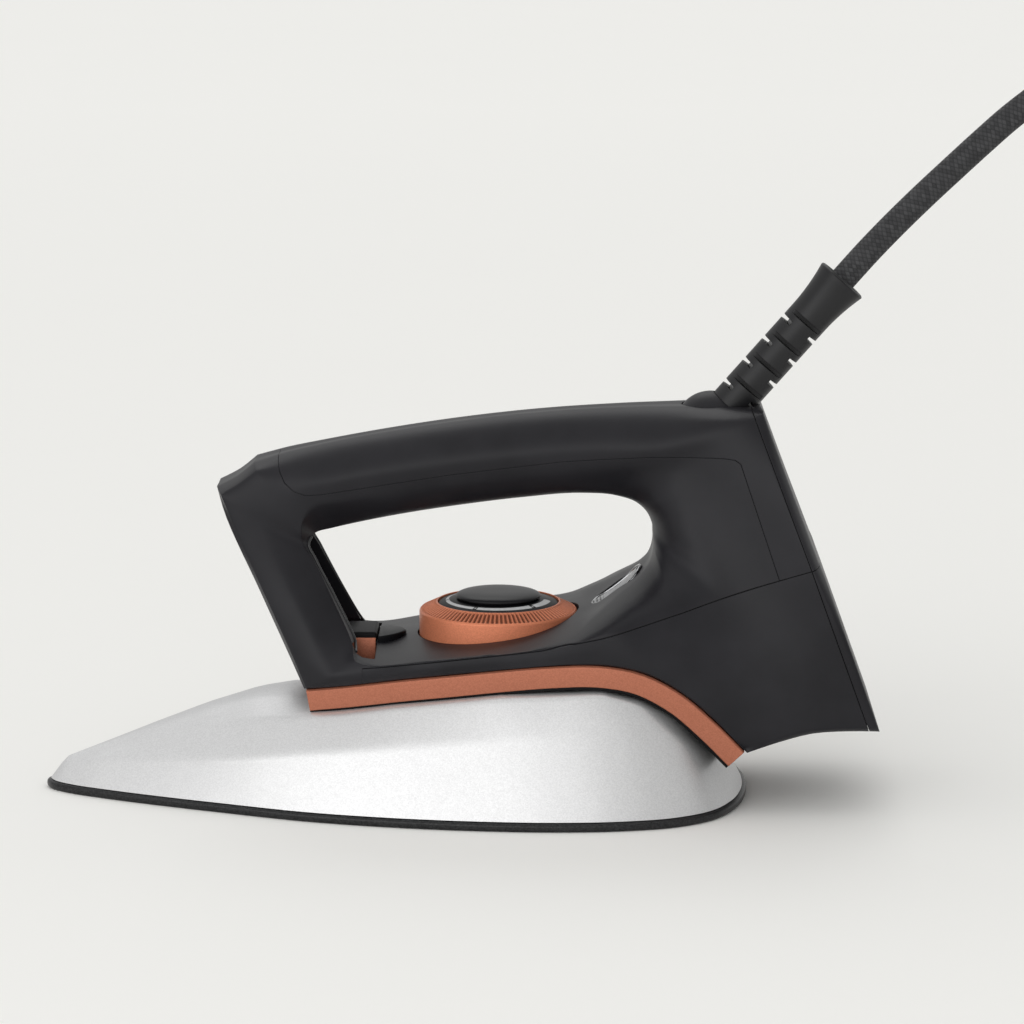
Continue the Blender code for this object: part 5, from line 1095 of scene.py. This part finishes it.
# Rounded block: plan corners with a radius, carried up with its top edge turned in
def softBlock(name, low, high, radius, edge, material, **settings):
    low, high = np.sort((low, high), axis=0)
    corners = ((high[0], high[1]), (low[0], high[1]), (low[0], low[1]), (high[0], low[1]))
    middle, half = (low[:2] + high[:2]) / 2, (high[:2] - low[:2]) / 2
    turn = np.linspace(0, math.pi / 2, blockSteps["corner"])
    plan = np.vstack([corner - np.sign(corner - middle) * radius
                      + radius * np.column_stack((np.cos(turn + quarter), np.sin(turn + quarter)))
                      for corner, quarter in zip(corners, np.arange(4) * math.pi / 2)])
    rings = [np.column_stack((plan, np.full(len(plan), low[2])))]
    for t in np.linspace(0, math.pi / 2, blockSteps["edge"]):
        scale = (half - edge * (1 - math.cos(t))) / half
        level = np.full(len(plan), high[2] - edge * (1 - math.sin(t)))
        rings.append(np.column_stack((middle + (plan - middle) * scale, level)))
    return loftPiece(name, rings, material, **settings)


# Joins pieces without a finish into one that has it
def joinPieces(name, parts, material, slot):
    points, faces, start = [], [], 0
    for part in parts:
        spot = np.empty(len(part.data.vertices) * 3)
        part.data.vertices.foreach_get("co", spot)
        points.append(spot.reshape(-1, 3))
        faces += [[start + index for index in face.vertices] for face in part.data.polygons]
        start += len(points[-1])
    clearCutters()
    meshPiece(name, np.vstack(points), faces, material, slot=slot)


def makeTrayParts():
    left, right, low, high = trayShape["upstand"]
    block, thick = recessShape["blockHalf"], trayShape["upstandThick"]
    joinPieces("trayUpstands", [softBlock("part", (left, side * block, low), (right, side * (block + thick), high),
                                          *trayShape["upstandRound"], None) for side in (1, -1)],
               copperPaint, "copper")
    band = np.array(bandLineShares) * (soleLength, handleHeight, halfWidth)
    wide, deep, tall = trayShape["tabSize"]
    parts = []
    for x in trayShape["tabs"]:
        top = np.interp(x, band[:, 0], band[:, 1]) - trayShape["band"] + gap
        half = np.interp(x, band[:, 0], band[:, 2]) - gap * 4
        parts += [softBlock("part", (x - wide / 2, side * (half - deep), top - tall),
                            (x + wide / 2, side * half, top + gap), *trayShape["tabRound"], None) for side in (1, -1)]
    joinPieces("bandTabs", parts, satinBlack, "black")


makeSoleplate()
makeCover()
makeTray()
makeTrayParts()
print("soleplate, cover and tray made")


# Ring: a profile spun round; on the bevel a wave of the turn sinks every other rib along the bevel's normal, and the
# sunk share is kept for the finish, which paints shade into the grooves
def makeDialRing():
    outer, top, base = dialShape["radius"], dialTop, dialTop - dialShape["height"]
    inner, hub = outer - dialShape["bevel"], dialShape["spindle"] + gap
    lip, (first, last) = dialShape["discRadius"] + gap, dialShape["bevelRange"]
    bevel = np.linspace(first, last, dialShape["bevelSteps"])
    slope = np.column_stack((outer + (inner - outer) * bevel, top + (dialCrown - top) * bevel))
    start = [(hub, base), (outer - dialShape["play"], base), (outer, base + dialShape["play"])]
    start += [(outer - inset, top + lift) for inset, lift in dialShape["outerEdge"]]
    end = [(inner + inset, dialCrown + lift) for inset, lift in dialShape["innerEdge"]]
    inset, lift = dialShape["lipEdge"]
    end += [(lip + inset, dialCrown + lift), (lip, dialCrown), (lip, discSeat), (hub, discSeat)]
    profile = np.vstack((start, slope, end))
    mask = np.zeros(len(profile))
    fade = np.minimum(bevel - first, last - bevel) / dialShape["ribFade"]
    mask[len(start):len(start) + len(slope)] = np.clip(fade, 0, 1)
    angle = np.linspace(0, 2 * math.pi, dialShape["ribs"] * 8, endpoint=False)
    sunk = mask[:, None] * np.clip(0.5 + dialShape["ribEdge"] * np.cos(dialShape["ribs"] * angle), 0, 1)[None]
    normal = unit(np.array((dialCrown - top, outer - inner))) * dialShape["grooveDepth"]
    radius, height = profile[:, :1] - sunk * normal[0], profile[:, 1:] - sunk * normal[1]
    rings = np.stack((dialX + radius * np.cos(angle), radius * np.sin(angle), height), axis=-1)
    ring = loftPiece("dialRing", rings, ribbedCopper, joined=True, body="dial", slot="copper",
                     replaced=("dial_ring",), sharp=40)
    layValues(ring, "grooveShade", sunk)


# Print on the disc: an arc that widens round the front to a round end, three marks on it, and a row of dots
printShape = {"start": 136.0, "sweep": 216.0, "outer": 0.0176, "thin": 0.0003, "wide": 0.0023, "growth": 0.55,
              "soft": 0.00007, "marks": ((47.0, 3.5), (108.0, 4.6), (178.0, 5.5)), "markSoft": 0.3,
              "markDot": (0.0009, 0.0004, 0.0005), "dots": (252.0, 322.0), "dotRadius": 0.0163,
              "dotReach": (0.0003, 0.0004), "dotShade": 0.55, "dotBeat": 52.0, "ink": (0.6, 0.605, 0.61),
              "ground": (0.005, 0.005, 0.006), "wear": (900.0, 2.0), "rough": (0.31, 0.45),
              "arcEnd": (0.999, 1.001), "rowSoft": 0.01, "beatRange": (0.35, 0.6), "wearRange": (0.3, 0.6, 0.86, 1.0),
              "wearShare": 0.2, "relief": (0.25, 0.00002)}


def printFinish():
    finish, shader = newFinish("dialPrint", printShape["ground"], 0.33, specular=0.04)
    x, y = partsOf(objectPlace(shader, shift=(-dialX, 0, 0)))[:2]
    start, sweep = math.radians(printShape["start"]), math.radians(printShape["sweep"])
    outer, thin, wide, soft = (printShape[key] for key in ("outer", "thin", "wide", "soft"))
    radius = lengthOf(x, y)
    depth = minus(outer, radius)
    turn = calc("FLOORED_MODULO", minus(calc("ARCTAN2", y, x), start), 2 * math.pi)
    share = calc("DIVIDE", turn, sweep)
    width = plus(times(calc("POWER", share, printShape["growth"]), wide - thin), thin)
    arc = times(spread(depth, -soft, soft), spread(minus(width, depth), -soft, soft))
    middle, half = outer - wide / 2, wide / 2  # the round end
    reach = lengthOf(minus(x, middle * math.cos(start + sweep)), minus(y, middle * math.sin(start + sweep)))
    ink = larger(times(arc, falling(share, *printShape["arcEnd"])), falling(reach, half - soft, half + soft))
    markSoft, (dotDepth, *dotEdge) = math.radians(printShape["markSoft"]), printShape["markDot"]
    for middle, wide in np.radians(printShape["marks"]).tolist():
        off = absolute(minus(turn, middle))
        dot = times(falling(off, wide / 8, wide / 8 + markSoft), falling(absolute(minus(depth, dotDepth)), *dotEdge))
        ink = larger(times(ink, spread(off, wide / 2 - markSoft, wide / 2 + markSoft)), dot)
    first, last = (math.radians(value) for value in printShape["dots"])
    row = times(spread(turn, first, first + printShape["rowSoft"]), falling(turn, last, last + printShape["rowSoft"]))
    beat = spread(calc("SINE", times(turn, printShape["dotBeat"])), *printShape["beatRange"])
    near = absolute(minus(radius, printShape["dotRadius"]))
    ink = larger(ink, times(times(row, beat), falling(near, *printShape["dotReach"], printShape["dotShade"])))
    wear = noiseAt(objectPlace(shader), *printShape["wear"])
    ink = times(ink, spread(wear, *printShape["wearRange"]))
    feed(shader.inputs["Base Color"], mixColours(ink, printShape["ground"], printShape["ink"]))
    feed(shader.inputs["Roughness"], spread(ink, 0.0, 1.0, *printShape["rough"]))
    raiseBump(shader, plus(times(wear, printShape["wearShare"]), ink), *printShape["relief"])
    return finish


# Disc: a cone bowed a little; its rise goes with 1 plus the bow times the share of the way in, less the bow times
# that share's square.
# Cap: the dome's radius is a power of a cosine and its height a power of the sine
def makeDialTop():
    level, rise = discSeat + gap + dialShape["discThickness"], dialShape["discRise"]
    disc, cap, hole = dialShape["discRadius"], dialShape["capRadius"], dialShape["capRadius"] + gap
    share, bow, edge = np.linspace(0, 1, dialShape["discSteps"]), dialShape["discBow"], dialShape["discEdge"]
    cone = np.column_stack((disc - edge + (hole - disc + edge) * share,
                            level + rise * ((1 + bow) * share - bow * share**2)))
    inner = hole - dialShape["discHole"]
    profile = np.vstack(([(inner, discSeat + gap), (disc, discSeat + gap), (disc, level - edge)], cone,
                         [(inner, level + rise)]))
    turnedPiece("dialDisc", profile, (dialX, 0, 0), (0, 0, 1), dialPrint, dialShape["discSides"], True, body="dial",
                slot="black", replaced=("dial_disc",))
    wall, dome = dialShape["capRise"] * dialShape["capWall"], dialShape["capRise"] * (1 - dialShape["capWall"])
    t, (wide, tall) = np.linspace(0, math.pi / 2, dialShape["capSteps"])[:-1], dialShape["capPowers"]
    foot, neck, lift = dialShape["capFoot"]
    side = [(cap - foot, discSeat + gap), (cap - neck, level + rise + lift)]
    side += [(cap - inset, level + wall - depth) for inset, depth in dialShape["capShoulder"]]
    profile = np.vstack((side, np.column_stack((cap * np.cos(t) ** wide, level + wall + dome * np.sin(t) ** tall))))
    turnedPiece("dialCap", profile, (dialX, 0, 0), (0, 0, 1), capBlack, dialShape["capSides"], body="dial",
                slot="gloss", replaced=("dial_cap",))


# Pointer, and the ledge behind the post
pointerShape = {"start": -0.0057, "end": 0.0036, "half": 0.0088, "rise": 0.0017, "round": 0.0006, "drop": 0.0006,
                "deckPlaces": (-0.0111, -0.0056, 0.0095), "deckHeights": (0.05095, 0.04976, 0.0516),
                "crownShare": 0.95, "fall": 0.25, "steps": 26, "spacing": 0.8, "powers": (2.3, 0.62), "middle": 0.4,
                "edgeSteps": 6}


# Pointer: a D in plan, whose half width falls as a power of 1 less a power of the run; the rings follow the deck
# and turn in at the top
def makePointer():
    start, length, soft = pointerShape["start"], pointerShape["end"] - pointerShape["start"], pointerShape["round"]
    run, (blunt, wide) = np.linspace(0, 1, pointerShape["steps"]) ** pointerShape["spacing"], pointerShape["powers"]
    half = pointerShape["half"] * (1 - run**blunt) ** wide
    x = start + run * length
    plan = np.vstack((np.column_stack((x, half)), np.column_stack((x, -half))[::-1][1:]))
    middle = np.array((start + length * pointerShape["middle"], 0.0))
    size = np.array((length / 2, pointerShape["half"]))
    deck = (np.interp(plan[:, 0], pointerShape["deckPlaces"], pointerShape["deckHeights"])
            + bodyShape["deckCrown"] * pointerShape["crownShare"])
    fall = 1 - pointerShape["fall"] * np.clip((plan[:, 0] - start) / length, 0, 1) ** 2
    rings = [np.column_stack((plan, deck - pointerShape["drop"]))]
    for t in np.linspace(0, math.pi / 2, pointerShape["edgeSteps"]):
        height = deck + pointerShape["rise"] * fall - soft * (1 - math.sin(t))
        rings.append(np.column_stack((middle + (plan - middle) * (1 - soft * (1 - math.cos(t)) / size), height)))
    loftPiece("dialPointer", rings, pianoBlack, slot="gloss", replaced=("dial_pointer",), sharp=50)
    # The ledge block takes the darker copy of the body's black: its darkness is painted shade in the post's recess
    left, right, low, high = recessShape["ledge"]
    half, soft = recessShape["blockHalf"], recessShape["ledgeRound"]
    softBlock("ledgeBlock", (left, -half, low), (right, half, high), soft, soft, shadedBlack, slot="black")


# Lens: a bowed pill with a chrome line round it, a brushed face and three dark bars
trimShape = {"radius": 0.0005, "sides": 10, "lift": 0.00025}
lensLook = {"stretch": (3.0, 46.0, 1.0), "streaks": ((0.16, 0.163, 0.168), (0.48, 0.485, 0.49)), "barBeat": 95.0,
            "barEnd": (0.205, 0.21), "barReach": (0.3, 0.33), "rim": (0.4, 0.43), "rearRim": (0.93, 0.95),
            "dark": (0.006, 0.006, 0.007), "streak": (1.0, 3.0, 0.6), "streakRange": (0.35, 0.65),
            "barRange": (0.1, 0.3), "relief": (0.2, 0.00003)}


def lensFinish():
    finish, shader = newFinish("lensFace", (0.3, 0.305, 0.31), 0.3, 0.4)
    uv = addNode(shader, "UVMap", uv_map="run").outputs["UV"]
    run, side = partsOf(uv)[:2]
    streak = noiseAt(mapped(uv, lensLook["stretch"]), *lensLook["streak"])
    face = mixColours(spread(streak, *lensLook["streakRange"]), *lensLook["streaks"])
    reach = absolute(minus(side, 0.5))
    beat = calc("SINE", times(run, lensLook["barBeat"]))
    bars = times(spread(beat, *lensLook["barRange"]), falling(run, *lensLook["barEnd"]))
    dark = larger(times(bars, falling(reach, *lensLook["barReach"])), spread(reach, *lensLook["rim"]))
    dark = larger(dark, spread(run, *lensLook["rearRim"]))
    feed(shader.inputs["Base Color"], mixColours(dark, face, lensLook["dark"]))
    raiseBump(shader, minus(streak, dark), *lensLook["relief"])
    return finish


# Face: across the lens it bows up as a power of 1 less the square of the side's share
def makeLens():
    count, across = lensShape["rings"], lensShape["columns"]
    spine, normal, width = lensSpine(lensShape["half"], count, lensShape["leastWide"])
    side = np.linspace(1, -1, across)
    bow = lensShape["rise"] * (1 - side**2) ** lensShape["bow"]
    top = lensRings(spine, normal, width, side, bow)
    low = lensRings(spine, normal, width, side, np.full(across, -lensShape["depth"]))[:, ::-1]
    lens = loftPiece("lampLens", np.concatenate((top, low), axis=1), lensFace, slot="gloss",
                     replaced=("lamp_lens",), sharp=50)
    row, column = cornerGrid(lens.data, across * 2)
    column = np.minimum(column, across * 2 - 1 - column)
    layUv(lens.data, "run", row / (count - 1), column / (across - 1))
    edge = np.vstack((top[:, 0], top[::-1, -1])) + np.vstack((normal, normal[::-1])) * trimShape["lift"]
    loop = refine(edge, np.ones(len(edge)), 2)
    forward = unit(np.roll(loop, -1, 0) - np.roll(loop, 1, 0))
    up = np.stack([np.interp(loop[:, 0], spine[:, 0], normal[:, axis]) for axis in range(3)], axis=1)
    out = unit(np.cross(forward, up))
    rings = tubeRings(loop, out, np.cross(out, forward), trimShape["radius"], trimShape["sides"])
    loftPiece("lensTrim", rings, chromeLine, joined=True, slot="gloss")


# Ball with the hole for the sleeve
def makeSwivel():
    ball = turnedPiece("swivelBall", ballProfile(ballShape["radius"], 41), ballCentre, (0, 0, 1), satinBlack, 96,
                       body="cord_swivel", slot="black", replaced=("swivel_ball",))
    carve(ball, rodCutter("ballHole", ballCentre, sleeveWay, sleeveShape["radius"] + gap,
                          sleeveShape["root"] - gap, sleeveShape["length"]))
    clearCutters()


# Radius of the uncut sleeve: it grows along the flare with the square of the share there
def sleeveRadius(height):
    start = sleeveShape["length"] + sleeveShape["root"] - sleeveShape["flareLength"]
    share = np.clip((height - start) / sleeveShape["flareLength"], 0, 1)
    return sleeveShape["radius"] + (sleeveShape["flareRadius"] - sleeveShape["radius"]) * share**2


# Sleeve: in each slot the round section is cut by two flats, so the radius there is the core's divided by the
# sine or cosine of the turn, where that is less
def makeSleeve():
    root, end = sleeveShape["root"], sleeveShape["root"] + sleeveShape["length"]
    half, crisp, sides = sleeveShape["slotWidth"] / 2, sleeveShape["crisp"], sleeveShape["sides"]
    slots = [(sleeveShape["slotFirst"] + (pair + shift) * sleeveShape["slotPitch"], wave)
             for pair in range(sleeveShape["slotPairs"])
             for shift, wave in ((0.0, np.sin), (sleeveShape["slotStagger"], np.cos))]
    inner, (footInset, *foot) = half * sleeveShape["slotInner"], sleeveShape["foot"]
    after, before = sleeveShape["flareEnds"]
    steps = np.array((-half - crisp, crisp - half, -inner, inner, half - crisp, half + crisp))
    levels = np.concatenate([root + np.array(foot)] + [middle + steps for middle, wave in slots])
    height = np.sort(np.append(levels, np.linspace(levels[-1] + after, end - before, sleeveShape["flareSteps"])))
    whole = np.repeat(sleeveRadius(height)[:, None], sides, axis=1)
    angle, radius = np.linspace(0, 2 * math.pi, sides, endpoint=False), whole
    for middle, wave in slots:
        flat = np.minimum(whole, sleeveShape["slotCore"] / np.maximum(np.abs(wave(angle)), 1e-3))
        radius = np.where((np.abs(height - middle) < half)[:, None], flat, radius)
    play, low = sleeveShape["bore"]
    lip = np.array([(sleeveShape["flareRadius"] - inset, end - depth) for inset, depth in sleeveShape["lip"]]
                   + [(cordShape["radius"] + play, end - low)])
    first = np.full((1, sides), sleeveShape["radius"] - footInset)
    rings = spunRings(np.vstack((first, radius, np.repeat(lip[:, :1], sides, axis=1))),
                      np.concatenate(((root,), height, lip[:, 1])), ballCentre, sleeveWay)
    loftPiece("cordSleeve", rings, sleeveBlack, body="cord_sleeve", slot="rubber", replaced=("cord_sleeve",),
              sharp=40)


# Plug: a ribbed strain relief, a body with finger flutes, two pins
plugShape = {"radius": 0.0165, "body": 0.034, "relief": 0.026, "reliefRadius": 0.0062, "pinRadius": 0.0024,
             "pinLength": 0.019, "pinSpacing": 0.019, "pinSeat": 0.006, "ribs": 6, "ribDepth": 0.0007,
             "flutes": 12, "fluteDepth": 0.0007, "sides": 96, "steps": (61, 40), "ribCut": 0.25, "ribEnd": 0.93,
             "neck": 1.25, "ribGrowth": (3, 0.3), "fluteSpan": (0.12, 0.5), "pinSteps": 7, "pinTip": (1.5, 0.8),
             # share of the radius at each share of the body's length
             "form": ((0.72, 0.08), (0.95, 0.4), (1.0, 0.62), (1.0, 0.97), (0.97, 1.0))}


# Ribs stand where a sine of the length is low; the flutes are a cosine of the turn, faded in and out by a squared
# sine of the length
def makePlug():
    start, away = coilCentre + tailEnd - np.array((gap, 0.0, 0.0)), (-1, 0, 0)
    relief, body, wide = plugShape["relief"], plugShape["body"], plugShape["radius"]
    thin = plugShape["reliefRadius"]
    knots = np.array([(cordShape["radius"] + gap * 2, 0.0), (thin, relief * 0.5), (thin * plugShape["neck"], relief)]
                     + [(wide * share, relief + body * spot) for share, spot in plugShape["form"]])
    low, high = plugShape["steps"]
    height = np.unique(np.concatenate((np.linspace(0, relief, low), np.linspace(relief, relief + body, high))))
    radius = np.interp(height, knots[:, 1], knots[:, 0])
    wave = np.sin(height / relief * plugShape["ribs"] * 2 * math.pi)
    cut = (wave > plugShape["ribCut"]) & (height < relief * plugShape["ribEnd"])
    growth, least = plugShape["ribGrowth"]
    radius = radius - cut * plugShape["ribDepth"] * np.clip(height / relief * growth, least, 1)
    angle = np.linspace(0, 2 * math.pi, plugShape["sides"], endpoint=False)
    first, span = (body * share for share in plugShape["fluteSpan"])
    fade = np.sin(np.clip((height - relief - first) / span, 0, 1) * math.pi) ** 2
    flutes = plugShape["fluteDepth"] * (0.5 + 0.5 * np.cos(plugShape["flutes"] * angle))
    plug = loftPiece("plugBody", spunRings(radius[:, None] - fade[:, None] * flutes, height, start, away), plugBlack,
                     slot="black", replaced=("plug_body",), sharp=45)
    face = start - np.array((relief + body, 0.0, 0.0))
    pin, tip, seat = plugShape["pinRadius"], plugShape["pinLength"], plugShape["pinSeat"]
    t, (shank, blunt) = np.linspace(0, math.pi / 2, plugShape["pinSteps"])[:-1], plugShape["pinTip"]
    profile = np.vstack(([(pin, gap - seat), (pin, tip - pin * shank)],
                         np.column_stack((pin * np.cos(t) ** blunt, tip - pin + pin * np.sin(t)))))
    pins = []
    for name, node, side in (("plugPinLeft", "plug_pin_left", 1), ("plugPinRight", "plug_pin_right", -1)):
        foot = face + np.array((0.0, side * plugShape["pinSpacing"] / 2, 0.0))
        rodCutter("pinHole", foot, away, pin + gap, -seat, overrun, 32)
        pins.append(turnedPiece(name, profile, foot, away, platedSteel, 32, slot="steel", replaced=(node,)))
    carve(plug, *cutters)
    clearCutters()
    return [plug, *pins]


dialPrint = printFinish()
lensFace = lensFinish()
makeDialRing()
makeDialTop()
makePointer()
makeLens()
makeSwivel()
makeSleeve()
plugParts = makePlug()
print("dial, pointer, lens, swivel and plug made")


# The nodes that stay as they are get the same finishes
keptFinishes = (
    (platedSteel, "rear_screw heel_screw dial_spindle clamp_screw_left clamp_screw_right heating_element "
     "thermostat_base thermal_fuse fuse_clip"),
    (bareBrass, "front_bush rear_bush element_pin_left element_pin_right thermostat_blade"),
    (satinBlack, "swivel_seat cord_clamp"), (darkScrew, "front_screw"), (firedCeramic, "thermostat_stack"),
    (creamPlastic, "terminal_block"), (lampGlass, "neon_lamp"), (plugBlack, "inner_lead"),
    (wireBrown, "wire_live"), (wireBlue, "wire_neutral"), (wireGreen, "wire_earth"))


def dressNodes():
    for finish, names in keptFinishes:
        for name in names.split():
            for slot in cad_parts[name].material_slots:
                slot.material = finish


dressNodes()
print("kept nodes dressed")
